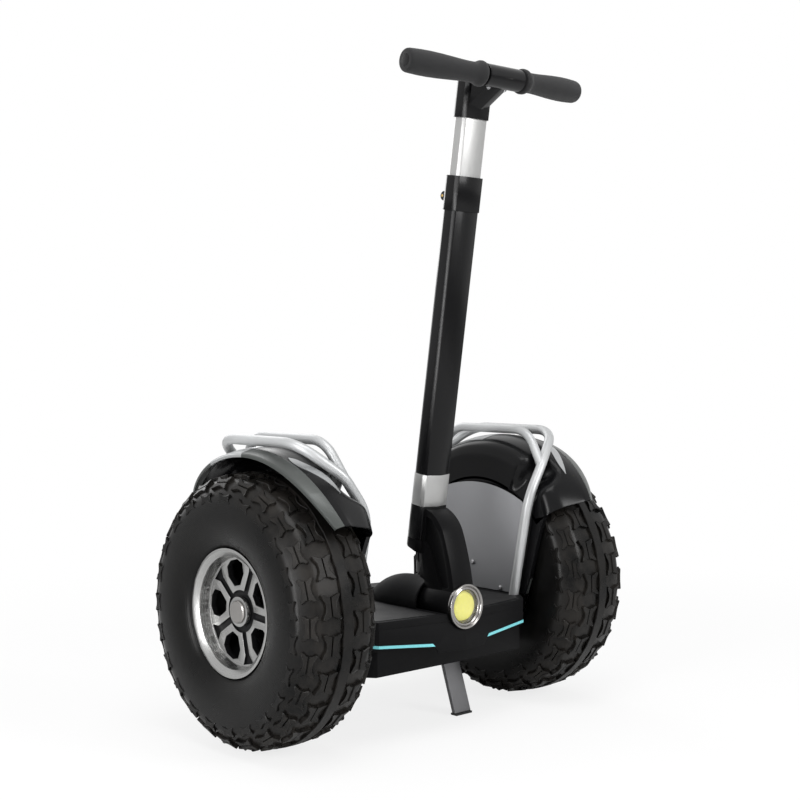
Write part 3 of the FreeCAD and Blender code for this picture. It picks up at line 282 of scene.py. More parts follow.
# %% Soft lamps
# Each has its place, its width and height, and its power in watts.
# The low one on the left is tall and narrow: the slim facet of the stem mirrors it.
SOFT_LAMPS = {
    "front": ((0.9, -3.0, 1.9), (1.2, 1.2), 46),
    "side": ((-3.1, -0.8, 1.7), (1.2, 1.2), 26),
    "low": ((-1.9, -0.64, 0.5), (0.26, 1.0), 13),
    "top": ((-0.6, -0.9, 3.5), (2.0, 2.0), 52),
    "back": ((0.8, 3.0, 2.2), (2.2, 2.2), 30),
}
LAMPS_AIM = Vector((0, 0, 0.5))
for name, (place, size, power) in SOFT_LAMPS.items():
    lamp = bpy.data.objects.new(name, bpy.data.lights.new(name, "AREA"))
    bpy.context.scene.collection.objects.link(lamp)
    lamp.location = place
    lamp.rotation_euler = (LAMPS_AIM - lamp.location).to_track_quat("-Z", "Y").to_euler()
    lamp.data.shape = "RECTANGLE"
    lamp.data.size, lamp.data.size_y = size
    lamp.data.energy = power
print(len(SOFT_LAMPS), "lamps")

# %% [markdown]
# ## Finishes
# Each finish is named for what it is on the machine. Painted metal gets a faint orange peel, moulded
# plastic a leathery grain, machined alloy its turning marks, rubber its bloom, painted sheen and fine
# rings.

# %% Painted and moulded finishes
ORANGE_PEEL = 0.00002


def painted(name, colour, roughness, **sockets):
    finish = Finish(name, colour, roughness, 0.0, **sockets)
    finish.varied(0.16, 9.0)
    finish.bump(finish.noise(420.0, 2.0), ORANGE_PEEL)
    return finish.material


def moulded(name, colour, roughness, grain=900.0, deep=0.00006, **sockets):
    finish = Finish(name, colour, roughness, 0.0, **sockets)
    finish.varied(0.18, 14.0)
    pores = finish.cells(grain) * 0.6 + finish.noise(grain * 0.7, 2.0) * 0.4
    finish.bump(pores, deep)
    return finish.material


def speckled(name, colour, roughness):
    """Textured powder coat with fine light and dark specks."""
    finish = Finish(name, colour, roughness, 0.3)
    specks = finish.noise(1500.0, 1.0)
    dark = tuple(c * 0.72 for c in colour)
    light = tuple(min(c * 1.3, 1) for c in colour)
    finish.feed("Base Color", finish.mixed(finish.between(specks, 0.35, 0.65), dark, light))
    finish.bump(specks, 0.00008)
    return finish.material


print("paint, plastic and powder coat")

# %% Metal finishes
# Noise keeps mostly to the middle of its range, so roughness is spread over this span of it.
SPAN = (0.3, 0.7)
MARK_DEPTH = 0.000012
SCRATCH_DEPTH = 0.000004


def turned(name, colour, roughness, pitch):
    """Bright alloy with the fine rings that a lathe leaves round the axle."""
    finish = Finish(name, colour, roughness, 1.0)
    ring = finish.radius()
    marks = finish.noise(pitch, 1.0, finish.node("ShaderNodeCombineXYZ", {}, {0: ring}))
    finish.feed("Roughness", finish.between(marks, *SPAN, roughness * 0.7, roughness * 1.5))
    finish.bump(marks, MARK_DEPTH)
    return finish.material


def brushed(name, colour, roughness, stretch, metallic=1.0):
    """Bright metal with fine scratches, drawn out along the axis with the small value."""
    finish = Finish(name, colour, roughness, metallic)
    scratches = finish.noise(1.0, 3.0, finish.stretched(stretch))
    dull = tuple(c * 0.93 for c in colour)
    finish.feed("Base Color", finish.mixed(scratches, dull, colour))
    finish.feed("Roughness", finish.between(scratches, *SPAN, roughness * 0.85, roughness * 1.25))
    finish.bump(scratches, SCRATCH_DEPTH)
    return finish.material


print("turned and brushed metal")

# %% Foam, lights and glass
def foam(name, colour):
    finish = Finish(name, colour, 0.92, 0.0, Sheen_Weight=0.1, Sheen_Roughness=0.5)
    pores = finish.cells(1300.0)
    light = tuple(c * 2.2 for c in colour)
    finish.feed("Base Color", finish.mixed(finish.between(pores, 0.1, 0.6), light, colour))
    finish.bump(pores + finish.noise(500.0, 3.0), 0.0003)
    return finish.material


def glowing(name, colour, roughness, strength):
    finish = Finish(name, colour, roughness, 0.0, Emission_Strength=strength)
    tint = finish.noise(160.0, 2.0)
    deeper = tuple(c * 0.86 for c in colour)
    shown = finish.mixed(tint, deeper, colour)
    finish.feed("Base Color", shown)
    finish.feed("Emission Color", shown)
    finish.bump(tint, 0.00003)
    return finish.material


def clear_glass(name):
    finish = Finish(name, (1, 1, 1), 0.03, 0.0, Transmission_Weight=1.0, IOR=1.45)
    finish.feed("Roughness", finish.between(finish.noise(30.0, 3.0), 0.3, 0.8, 0.01, 0.06))
    return finish.material


print("foam, lights and glass")

# %% [markdown]
# Three finishes change over their piece. They find their place by its distance from the axle, or
# from the middle of a screw, and by the distance from the middle of the machine.

# %% Rubber, the two-tone rim and the two-tone screw
BLOOM_AND_SHEEN_FROM, BLOOM_AND_SHEEN_FULL = 0.19, 0.225
TOP_FROM, TOP_FULL = 0.236, 0.2405
RIM_FACE_X = HALF_TRACK + 0.043
BARREL_RADIUS = 0.0942
SCREW_MIDDLE = Vector((0, -0.1165, 0.9723))
GOLD_RADIUS = 0.0022


def tyre_rubber(name):
    """Dark rubber: brown patches of bloom that also paint the sheen, growing towards the tread, and fine
    rings on the sidewalls.
    """
    finish = Finish(name, (0.006, 0.0058, 0.0057), 0.4, 0.0, Specular_IOR_Level=0.16)
    ring = finish.radius()
    bloom_and_sheen = finish.noise(14.0, 5.0)
    dust = finish.noise(60.0, 4.0)
    speck = finish.noise(900.0, 3.0)
    # Painted highlight and sheen: the rubber turns a lighter brown from the sidewall towards the tread,
    # most on the ground between the lugs and half as much on the lug tops.
    sheen_towards_tread = finish.between(ring, BLOOM_AND_SHEEN_FROM, BLOOM_AND_SHEEN_FULL, 0.1, 1.0)
    low = sheen_towards_tread * finish.between(ring, TOP_FROM, TOP_FULL, 1.0, 0.5)
    share = finish.between(bloom_and_sheen * 0.6 + dust * 0.4, 0.36, 0.6) * low
    finish.feed("Base Color", finish.mixed(share, (0.002, 0.002, 0.002), (0.016, 0.0142, 0.0125)))
    finish.feed("Roughness", finish.between(bloom_and_sheen, *SPAN, 0.22, 0.4))
    rings = (ring * 2100.0).sine() * finish.between(ring, 0.2, BLOOM_AND_SHEEN_FROM)
    finish.bump(rings * 0.15 + speck * 0.3 + dust * 0.5, 0.0003)
    return finish.material


def two_tone_rim(name, polished, black):
    """Turned alloy in front, black paint on all that lies behind the face of the spokes."""
    finish = Finish(name, polished, 0.2, 1.0, Specular_IOR_Level=0.12)
    ring = finish.radius()
    across = finish.node("ShaderNodeMath", {"operation": "ABSOLUTE"}, {0: finish.axes()[0]})
    behind = finish.between(across, RIM_FACE_X - 0.0004, RIM_FACE_X - 0.0002, 1.0, 0.0)
    inside = finish.between(ring, BARREL_RADIUS, BARREL_RADIUS + 0.0002, 1.0, 0.0)
    dark = behind * inside
    marks = finish.noise(2400.0, 1.0, finish.node("ShaderNodeCombineXYZ", {}, {0: ring}))
    haze = finish.noise(30.0, 4.0)
    bright = finish.mixed(haze, tuple(c * 0.86 for c in polished), polished)
    finish.feed("Base Color", finish.mixed(dark, bright, black))
    finish.feed("Metallic", 1 - dark)
    finish.feed("Roughness", finish.between(marks, *SPAN, 0.2, 0.36) + dark * 0.18)
    finish.bump(marks, MARK_DEPTH)
    return finish.material


def two_tone_screw(name, gold, black):
    """A black washer head with a small gold screw in its middle."""
    finish = Finish(name, black, 0.35)
    ring = finish.radius(SCREW_MIDDLE)
    middle = finish.between(ring, GOLD_RADIUS, GOLD_RADIUS + 0.0003, 1.0, 0.0)
    finish.feed("Base Color", finish.mixed(middle, black, gold))
    finish.feed("Metallic", middle)
    finish.bump(finish.noise(700.0, 2.0), 0.00003)
    return finish.material


print("rubber, rim and screw")

# %% All finishes by name
BLACK = {"Specular_IOR_Level": 0.07}
FINISH = {
    "casting_black": painted("casting_black", (0.0042, 0.0042, 0.0046), 0.34, **BLACK),
    "stem_paint": painted("stem_paint", (0.0038, 0.0038, 0.0042), 0.2, Specular_IOR_Level=0.18),
    "bright_tube": brushed("bright_tube", (0.42, 0.42, 0.415), 0.36, (500, 500, 30), 0.75),
    "shell_plastic": moulded("shell_plastic", (0.0062, 0.0062, 0.0066), 0.6, **BLACK),
    "fender_gloss": painted("fender_gloss", (0.0036, 0.0036, 0.004), 0.22, Specular_IOR_Level=0.16),
    "accent_silver": painted("accent_silver", (0.42, 0.43, 0.435), 0.3, Metallic=0.8),
    "rail_paint": painted("rail_paint", (0.45, 0.458, 0.462), 0.42, Metallic=0.45),
    "plate_grey": speckled("plate_grey", (0.27, 0.272, 0.283), 0.5),
    "mat_rubber": moulded("mat_rubber", (0.011, 0.011, 0.0115), 0.55, 700.0, 0.0001,
                          Specular_IOR_Level=0.2),
    "tyre_rubber": tyre_rubber("tyre_rubber"),
    "rim_alloy": two_tone_rim("rim_alloy", (0.38, 0.38, 0.375), (0.006, 0.006, 0.0065)),
    "hub_cap_alloy": turned("hub_cap_alloy", (0.30, 0.29, 0.28), 0.24, 1500.0),
    "steel": brushed("steel", (0.45, 0.45, 0.46), 0.3, (300, 300, 300)),
    "lamp_chrome": brushed("lamp_chrome", (0.30, 0.29, 0.28), 0.12, (200, 900, 200)),
    "lamp_yellow": glowing("lamp_yellow", (0.80, 0.76, 0.16), 0.3, 0.3),
    "lamp_glass": clear_glass("lamp_glass"),
    "strip_teal": glowing("strip_teal", (0.17, 0.56, 0.60), 0.35, 0.25),
    "grip_foam": foam("grip_foam", (0.0045, 0.0045, 0.005)),
    "bar_paint": painted("bar_paint", (0.005, 0.005, 0.0055), 0.24, Specular_IOR_Level=0.22),
    "motor_paint": painted("motor_paint", (0.02, 0.02, 0.022), 0.45, **BLACK),
    "pack_case": moulded("pack_case", (0.02, 0.024, 0.034), 0.5),
    "heat_sink": brushed("heat_sink", (0.4, 0.4, 0.41), 0.4, (60, 600, 60)),
    "stand_paint": painted("stand_paint", (0.16, 0.16, 0.165), 0.35, Metallic=0.6),
    "stand_black": painted("stand_black", (0.009, 0.009, 0.0095), 0.45, **BLACK),
    "stand_tip": moulded("stand_tip", (0.009, 0.009, 0.009), 0.7),
    "knob_plastic": moulded("knob_plastic", (0.009, 0.009, 0.0095), 0.45),
    "fender_band": painted("fender_band", (0.055, 0.060, 0.057), 0.34, Metallic=0.3),
    "gold_screw": two_tone_screw("gold_screw", (0.75, 0.52, 0.18), (0.01, 0.01, 0.011)),
}
SLOT = {}
for name, thing in frame["nodes"].items():
    SLOT[name] = thing.data.materials[0].name.split(".")[0]
print(len(FINISH), "finishes for", sorted(set(SLOT.values()) - set(FINISH)) or "every slot")

# %% [markdown]
# ## Tools for modelling by hand
# Everything below is shaped as it would be at the screen: a primitive is added, parts of it are
# selected, and they are extruded, inset, spun or moved. Two habits keep that safe in a script: all
# is deselected before a primitive is added, and what is selected is chosen by its place.

# %% Adding, selecting and drawing
MM = 0.001
MERGE_NEAR = 0.01 * MM
SMOOTH_BELOW = 32.0


def alone(thing):
    bpy.ops.object.select_all(action="DESELECT")
    thing.hide_viewport = False
    thing.select_set(True)
    bpy.context.view_layer.objects.active = thing
    return thing


def started(kind, name, **settings):
    """A primitive on its own, its place in its mesh, open in edit mode with all of it selected."""
    bpy.ops.object.select_all(action="DESELECT")
    getattr(bpy.ops.mesh, f"primitive_{kind}_add")(**settings)
    thing = bpy.context.object
    thing.name = name
    bpy.ops.object.transform_apply(location=True, rotation=True, scale=True)
    bpy.ops.object.mode_set(mode="EDIT")
    bpy.ops.mesh.select_mode(type="VERT")
    bpy.ops.mesh.select_all(action="SELECT")
    return thing


def pick(thing, kind, test):
    """Selects the vertices, or the faces, whose place passes the test, in edit mode."""
    bpy.ops.object.mode_set(mode="EDIT")
    bpy.ops.mesh.select_mode(type=kind)
    bpy.ops.mesh.select_all(action="DESELECT")
    bpy.ops.object.mode_set(mode="OBJECT")
    mesh = thing.data
    if kind == "VERT":
        found = [(vertex, vertex.co) for vertex in mesh.vertices]
    else:
        found = [(face, face.center) for face in mesh.polygons]
    for item, place in found:
        item.select = bool(test(place))
    bpy.ops.object.mode_set(mode="EDIT")


def drawn(name, points):
    """A line drawn with one vertex, extruded from each point to the next."""
    thing = started("plane", name, size=MM)
    bpy.ops.mesh.merge(type="CENTER")
    bpy.ops.transform.translate(value=points[0])
    for start, end in zip(points, points[1:]):
        step = tuple(Vector(end) - Vector(start))
        bpy.ops.mesh.extrude_vertices_move(TRANSFORM_OT_translate={"value": step})
    merged()
    return thing


def merged():
    """Merges doubles, and leaves all of it selected."""
    bpy.ops.mesh.select_all(action="SELECT")
    bpy.ops.mesh.remove_doubles(threshold=MERGE_NEAR)
    bpy.ops.mesh.select_all(action="SELECT")


def closed_up():
    """Merges doubles and turns every face outwards, still in edit mode."""
    merged()
    bpy.ops.mesh.normals_make_consistent(inside=False)


def finished(thing, angle=SMOOTH_BELOW):
    bpy.ops.object.mode_set(mode="OBJECT")
    alone(thing)
    bpy.ops.object.shade_smooth_by_angle(angle=math.radians(angle))
    return thing


def turned_piece(name, points, axis, centre, steps, angle=SMOOTH_BELOW):
    """A lathe turned piece: its half section is drawn and spun right round the axis."""
    thing = drawn(name, points)
    bpy.ops.mesh.spin(steps=steps, angle=math.tau, center=centre, axis=axis)
    closed_up()
    return finished(thing, angle)


print("pieces can be started, drawn and turned")


# %% Joining, mirroring and placing
def joined(name, pieces):
    bpy.ops.object.select_all(action="DESELECT")
    for piece in pieces:
        piece.select_set(True)
    bpy.context.view_layer.objects.active = pieces[0]
    bpy.ops.object.join()
    pieces[0].name = name
    return pieces[0]


def mirrored(thing, name):
    """The same piece for the other side of the machine, with a mesh of its own."""
    alone(thing)
    bpy.ops.object.duplicate()
    other = bpy.context.object
    other.name = name
    bpy.ops.object.mode_set(mode="EDIT")
    bpy.ops.mesh.select_all(action="SELECT")
    bpy.ops.transform.resize(value=(-1, 1, 1), center_override=(0, 0, 0))
    bpy.ops.mesh.flip_normals()
    bpy.ops.object.mode_set(mode="OBJECT")
    return other


def applied(thing, kind, name, **settings):
    alone(thing)
    modifier = thing.modifiers.new(name, kind)
    for key, value in settings.items():
        setattr(modifier, key, value)
    bpy.ops.object.modifier_apply(modifier=name)


def placed(thing, node, finish=None, more=()):
    """The piece stands for its node, rides on the node's body and takes its finish."""
    thing.data.materials.clear()
    thing.data.materials.append(FINISH[finish or SLOT[node]])
    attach(thing, body_of[node])
    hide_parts(node, *more)
    return thing


print("modelling tools ready")

# %% [markdown]
# ## Rounded copies of the hard pieces
# No real edge is perfectly sharp: castings have radii, bent sheet has a soft edge. A copy of each
# solid is merged, its flat faces are joined again, and a small bevel rounds its edges.

# %% A copy of a solid with its edges rounded
ROUND_SEGMENTS = 2
ROUND_ABOVE = math.radians(28.0)
FLAT_BELOW = math.radians(1.0)


def rounded_copy(node, width):
    thing = frame["nodes"][node].copy()
    thing.data = thing.data.copy()
    thing.parent = None
    thing.hide_render = False
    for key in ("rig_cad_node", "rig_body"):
        if key in thing:
            del thing[key]
    thing.name = node + "_dressed"
    bpy.context.scene.collection.objects.link(thing)
    alone(thing)
    bpy.ops.object.mode_set(mode="EDIT")
    bpy.ops.mesh.select_all(action="SELECT")
    bpy.ops.mesh.remove_doubles(threshold=MERGE_NEAR)
    bpy.ops.mesh.dissolve_limited(angle_limit=FLAT_BELOW)
    bpy.ops.object.mode_set(mode="OBJECT")
    applied(thing, "BEVEL", "edges", width=width, segments=ROUND_SEGMENTS, limit_method="ANGLE",
            angle_limit=ROUND_ABOVE, use_clamp_overlap=True, miter_outer="MITER_ARC",
            harden_normals=False)
    return finished(thing)


print("copies can be rounded")

# %% Rounded edges, with the width of each bevel in metres
ROUNDED = {
    "chassis_frame": 0.0010, "belly_cover": 0.0008, "deck_cover": 0.0014, "front_panel": 0.0009,
    "spine_cowling": 0.0012, "arch_fork": 0.0012, "stem_socket": 0.0004, "silver_sleeve": 0.0004,
    "outer_tube": 0.0008, "collar": 0.0006, "inner_tube": 0.0006, "head_casting": 0.0016,
    "handlebar": 0.0006, "kickstand_leg": 0.0009, "kickstand_foot": 0.0008,
    "kickstand_bracket": 0.0008, "motor_controller": 0.0006, "battery_pack": 0.002,
    "height_knob": 0.0005, "clamp_screw": 0.0008,
    "left_side_plate": 0.0008, "right_side_plate": 0.0008,
    "left_gearbox": 0.0015, "right_gearbox": 0.0015,
    "left_motor": 0.0012, "right_motor": 0.0012, "left_rim": 0.0009, "right_rim": 0.0009,
}
dressed = {}
for node, width in ROUNDED.items():
    dressed[node] = placed(rounded_copy(node, width), node)
dressed["head_casting"].data.materials[0] = FINISH["stem_paint"]
print(len(dressed), "pieces with rounded edges")

# %% [markdown]
# ## Tyres
# The tyre is an off-road pattern: a plain rib round the middle, and on each side of it two rows of
# bone shaped lugs and a shallow third row that fades into the shoulder. A fine slit splits the
# lugs of the first two rows. The carcass is a section spun round the axle. One lug or half lug of
# each row is drawn on the carcass, filled, raised and given a chamfer by an inset, and a spin with
# copies repeats it.

# %% The carcass, in mm out from its middle and mm from the axle
X_AXIS = (1, 0, 0)
CARCASS = [(0, 235), (17.2, 235), (36, 233.3), (48, 232), (54.5, 230.4), (60, 226.8), (68, 219),
           (77, 209.9), (81.2, 204.4), (83.6, 198.2), (85, 189), (86, 177), (86, 164), (85, 151.5),
           (82.5, 139), (79, 128.5), (74, 119.5), (68, 114), (61.9, 111.5), (61.9, 102.6)]
LINING = [(50, 102.6), (52, 116), (69, 139), (75, 171), (69, 202), (48, 219), (0, 224)]


def on_wheel(across, radius, around=0.0):
    """A point of the left wheel: mm out from its middle, mm from the axle, mm round from the top."""
    return Vector((HALF_TRACK + across * MM, AXLE.y + around * MM, AXLE.z + radius * MM))


half = [on_wheel(x, r) for x, r in CARCASS]
other_half = [on_wheel(-x, r) for x, r in reversed(CARCASS)]
inside = [on_wheel(-x, r) for x, r in LINING] + [on_wheel(x, r) for x, r in reversed(LINING)]
wheel_middle = (HALF_TRACK, AXLE.y, AXLE.z)
carcass = turned_piece("left_tyre_dressed", half + inside[::-1] + other_half, X_AXIS,
                       wheel_middle, 120, 60.0)
print("carcass", len(carcass.data.polygons), "faces")

# %% Lugs
# A row has the two ends of the line it lies on, how far along that line its lugs stand, half
# their width, half their length and their height, all in mm, and whether a slit splits them.
LUG_ROWS = [((17.2, 235.0), (55.9, 231.5), 14.6, 18.4, 21.5, 5.4, True),
            ((55.9, 231.5), (83.85, 203.1), 13.6, 13.8, 20.5, 4.8, True),
            ((83.85, 203.1), (86.0, 168.5), 3.5, 8.5, 16.0, 1.3, False)]
LUG_COUNT = 23
LUG_SUNK = 3
LUG_CHAMFER = 0.9
TREAD_TURN = 0.045
# A quarter of the bone shape, as shares of half its length and half its width.
BONE = [(0.77, 0.0), (0.8, 0.34), (0.93, 0.6), (1.0, 0.84), (0.92, 1.0), (0.66, 0.86), (0.34, 0.62),
        (0, 0.55)]
SLIT = 0.06


def lug_part(name, side, row, half, turn):
    """A half lug, or a whole shallow one, repeated round the tyre."""
    start, end, along, half_w, half_long, height, is_split = row
    step = Vector((end[0] - start[0], end[1] - start[1])).normalized()
    outline = BONE + [(-u, w) for u, w in reversed(BONE[:-1])]
    if is_split:
        outline = [(u, max(w, SLIT)) for u, w in outline]
    else:
        outline = outline + [(u, -w) for u, w in reversed(outline)]
    points = []
    for u, w in outline:
        reach = along + half * w * half_w
        points.append(on_wheel(side * (start[0] + step.x * reach), start[1] + step.y * reach,
                               u * half_long))
    up = Vector((-side * step.y, 0, step.x))
    sunk = [point - up * LUG_SUNK * MM for point in points]
    part = drawn(name, sunk + sunk[:1])
    bpy.ops.mesh.edge_face_add()
    rise = up * (height + LUG_SUNK - LUG_CHAMFER) * MM
    bpy.ops.mesh.extrude_region_move(TRANSFORM_OT_translate={"value": tuple(rise)})
    bpy.ops.mesh.inset(thickness=LUG_CHAMFER * MM, depth=LUG_CHAMFER * MM)
    closed_up()
    bpy.ops.transform.rotate(value=turn, orient_axis="X", center_override=wheel_middle)
    bpy.ops.mesh.select_all(action="SELECT")
    last = math.tau * (LUG_COUNT - 1) / LUG_COUNT
    bpy.ops.mesh.spin(steps=LUG_COUNT - 1, angle=last, dupli=True, center=wheel_middle, axis=X_AXIS)
    return finished(part, 20.0)


parts = [carcass]
pitch = math.tau / LUG_COUNT
for number, row in enumerate(LUG_ROWS):
    for side in (1, -1):
        turn = (number + (side < 0)) / 2 * pitch - TREAD_TURN
        for half in ((1, -1) if row[6] else (1,)):
            parts.append(lug_part(f"lug_{number}_{side}_{half}", side, row, half, turn))
print(len(parts) - 1, "rings of lugs or half lugs")

# %% Centre rib and the two tyres
RIB = [(-10, 232), (-10, 239.8), (-9, 240.8), (9, 240.8), (10, 239.8), (10, 232), (-10, 232)]
RIB_SWELL = 1.16
rib = turned_piece("rib", [on_wheel(x, r) for x, r in RIB], X_AXIS, wheel_middle, 4 * LUG_COUNT)
pick(rib, "VERT", lambda p: math.cos(LUG_COUNT * math.atan2(p.y - AXLE.y, p.z - AXLE.z)) > 0.5)
bpy.ops.transform.resize(value=(RIB_SWELL, 1, 1), center_override=wheel_middle)
bpy.ops.object.mode_set(mode="OBJECT")
left_tyre = joined("left_tyre_dressed", parts + [rib])
right_tyre = mirrored(left_tyre, "right_tyre_dressed")
placed(left_tyre, "left_tyre")
placed(right_tyre, "right_tyre")
print("tyre has", len(left_tyre.data.polygons), "faces")

# %% [markdown]
# ## Fenders
# Each fender is one moulded shell: a broad crown over the tyre, a flat inner wall, and a recess at
# each end where the rail passes. Its section changes all the way round, so no single sweep gives
# it. A grid is laid over it instead, one way round the wheel and the other way across, and every
# crossing is moved to its place. Solidify then gives the skin its thickness.

# %% The section of the crown
# Angles are degrees from the top of the wheel, and all other values are mm.
FENDER_REACH = 53.0
WALL_X = 219.6
BAND_X, BAND_DRAWN_IN = 330, 20
RECESS_FROM, RECESS_RISE = 24.6, 5.4
RECESS_TO, RECESS_FADE = 35, 9
RECESS_DEPTH = 20


def eased(value):
    """From 0 to 1 with a soft start and a soft end."""
    value = min(max(value, 0.0), 1.0)
    return value * value * (3 - 2 * value)


def corners_cut(points):
    """Each corner of a line is cut twice, which leaves a soft bend in its place."""
    for _ in range(2):
        softer = [points[0]]
        for (a, b), (c, d) in zip(points, points[1:]):
            softer += [(0.75 * a + 0.25 * c, 0.75 * b + 0.25 * d),
                       (0.25 * a + 0.75 * c, 0.25 * b + 0.75 * d)]
        points = softer + [points[-1]]
    return points


def band_start(angle):
    """Where the strip along the lip begins. It is drawn in towards the ends of the fender."""
    return BAND_X - BAND_DRAWN_IN * (abs(angle) / FENDER_REACH) ** 3


def crown_section(angle):
    """The crown in one radial plane, as mm from the middle of the machine and mm from the axle."""
    step = eased((abs(angle) - RECESS_FROM) / RECESS_RISE)
    step *= 1 - eased((abs(angle) - RECESS_TO) / RECESS_FADE)
    ends = (abs(angle) / FENDER_REACH) ** 3
    top = 283 - 8 * ends
    wall = WALL_X + RECESS_DEPTH * step
    band = band_start(angle)
    lip = 358 - 36 * ends
    soft = corners_cut([(WALL_X, 196), (wall, 228 - 12 * ends), (wall, 256 - 10 * step - 28 * ends),
                        (wall + 7 + 6 * step, 268 - 9.5 * step - 28 * ends),
                        (wall + 22 + 8 * step, 275 - 8 * step - 21 * ends),
                        (268 + 8 * step, top - 2 - 11 * ends), (292, top - 6 * ends),
                        (band - 14, top - 1.4 - 2 * ends)])
    return soft + [(band - 1, top - 3.3), (band, top - 2.7), (lip - 2, top - 9.2), (lip, top - 11),
                   (lip + 0.4, top - 16)]


def crown_place(angle, across, radius):
    turn = math.radians(angle)
    return Vector((across * MM, AXLE.y + radius * MM * math.sin(turn),
                   AXLE.z + radius * MM * math.cos(turn)))


columns = len(crown_section(0))
print("the section has", columns, "points")

# %% A grid laid over the fender, and the crown
ROUND_STEPS = 110
SKIN = 3.5


def skin_over(name, rows, across_steps, place, thickness):
    """A grid from -1 to 1 both ways, moved to its place, turned outwards and made solid."""
    sheet = started("grid", name, x_subdivisions=rows, y_subdivisions=across_steps, size=2)
    bpy.ops.object.mode_set(mode="OBJECT")
    for vertex in sheet.data.vertices:
        vertex.co = place(vertex.co.x, vertex.co.y)
    sheet.data.update()
    middle = sheet.data.polygons[len(sheet.data.polygons) // 2]
    if middle.normal.dot(middle.center - AXLE) < 0:
        alone(sheet)
        bpy.ops.object.mode_set(mode="EDIT")
        bpy.ops.mesh.select_all(action="SELECT")
        bpy.ops.mesh.flip_normals()
        bpy.ops.object.mode_set(mode="OBJECT")
    applied(sheet, "SOLIDIFY", "skin", thickness=thickness * MM, offset=-1.0, use_even_offset=False)
    return sheet


def on_crown(u, v):
    angle = u * FENDER_REACH
    across, radius = crown_section(angle)[round((v + 1) / 2 * (columns - 1))]
    return crown_place(angle, across, radius)


crown = skin_over("left_fender_dressed", ROUND_STEPS, columns - 1, on_crown, SKIN)
print("crown", len(crown.data.polygons), "faces,", columns, "across")

# %% The inner wall with its return flange
WALL_EDGE = [(128, 221.5), (139, 252), (149, 289), (157, 318), (164, 342), (171, 361), (178, 376)]
WALL_TOP_RADIUS = 201
AXLE_UP = 241
FLANGE = 6
FLANGE_FROM_Y = 0.122
FLANGE_BELOW_Z = 0.376
outline = [(-y, z) for y, z in WALL_EDGE]
for degrees in range(-50, 51, 4):
    turn = math.radians(degrees)
    outline.append((WALL_TOP_RADIUS * math.sin(turn), AXLE_UP + WALL_TOP_RADIUS * math.cos(turn)))
outline += [(y, z) for y, z in reversed(WALL_EDGE)]
edge_line = [Vector((WALL_X * MM, AXLE.y + y * MM, z * MM)) for y, z in outline]
wall = drawn("wall", edge_line + edge_line[:1])
bpy.ops.mesh.edge_face_add()
bpy.ops.mesh.extrude_region_move(TRANSFORM_OT_translate={"value": (SKIN * MM, 0, 0)})
closed_up()
outer_side = (WALL_X + SKIN - 0.1) * MM
pick(wall, "FACE", lambda p: p.x > outer_side)
bpy.ops.mesh.inset(thickness=SKIN * MM)
pick(wall, "FACE", lambda p: p.x > outer_side and abs(p.y - AXLE.y) > FLANGE_FROM_Y
     and p.z < FLANGE_BELOW_Z)
bpy.ops.mesh.extrude_region_move(TRANSFORM_OT_translate={"value": (FLANGE * MM, 0, 0)})
closed_up()
finished(wall)
left_fender = joined("left_fender_dressed", [crown, wall])
applied(left_fender, "BEVEL", "edges", width=0.7 * MM, segments=2, limit_method="ANGLE",
        angle_limit=math.radians(38), use_clamp_overlap=True)
finished(left_fender, 24)
right_fender = mirrored(left_fender, "right_fender_dressed")
print("wall and crown are one piece")

# %% The strip along the lip
BAND_TOLERANCE = 0.0006
SILVER_FROM, SILVER_TO = 1.4, 22.4
SILVER_X = 0.354


def with_band(fender, node):
    """The strip along the lip is greyer and more satin, and silver under the rear inlay."""
    placed(fender, node)
    fender.data.materials.append(FINISH["fender_band"])
    fender.data.materials.append(FINISH["accent_silver"])
    for face in fender.data.polygons:
        across = abs(face.center.x)
        out = face.center - AXLE
        angle = math.degrees(math.atan2(out.y, out.z))
        if across > band_start(angle) * MM - BAND_TOLERANCE:
            silver = SILVER_FROM < angle < SILVER_TO and across > SILVER_X
            face.material_index = 2 if silver else 1


with_band(left_fender, "left_fender")
with_band(right_fender, "right_fender")
print("fender has", len(left_fender.data.polygons), "faces")

# %% [markdown]
# ## Silver inlays
# Two thin plates lie on each crown: a slim leaf in front and a broad patch behind it. Each is a
# grid again, whose crossings take their height from the same section as the crown.

# %% A plate that follows the crown
PLATE = 1.4
PLATE_ABOVE = 0.9
PLATE_COLUMNS = 32


def crown_radius(angle, across):
    """How far the skin of the crown is from the axle, at one place across it."""
    section = crown_section(angle)
    for (a, low), (b, high) in zip(section, section[1:]):
        if a < across <= b:
            return low + (high - low) * (across - a) / (b - a)
    return section[-1][1]


def inlay(name, stations, rows):
    """A plate over the crown. Each station is an angle with the two edges of the plate there."""
    def on_plate(u, v):
        place = (u + 1) / 2 * (len(stations) - 1)
        first = min(int(place), len(stations) - 2)
        angle, inner, outer = [a + (b - a) * (place - first)
                               for a, b in zip(stations[first], stations[first + 1])]
        across = inner + (outer - inner) * (v + 1) / 2
        return crown_place(angle, across, crown_radius(angle, across) + PLATE_ABOVE)

    return finished(skin_over(name, rows, PLATE_COLUMNS, on_plate, PLATE))


print("plates are", PLATE, "mm thick")

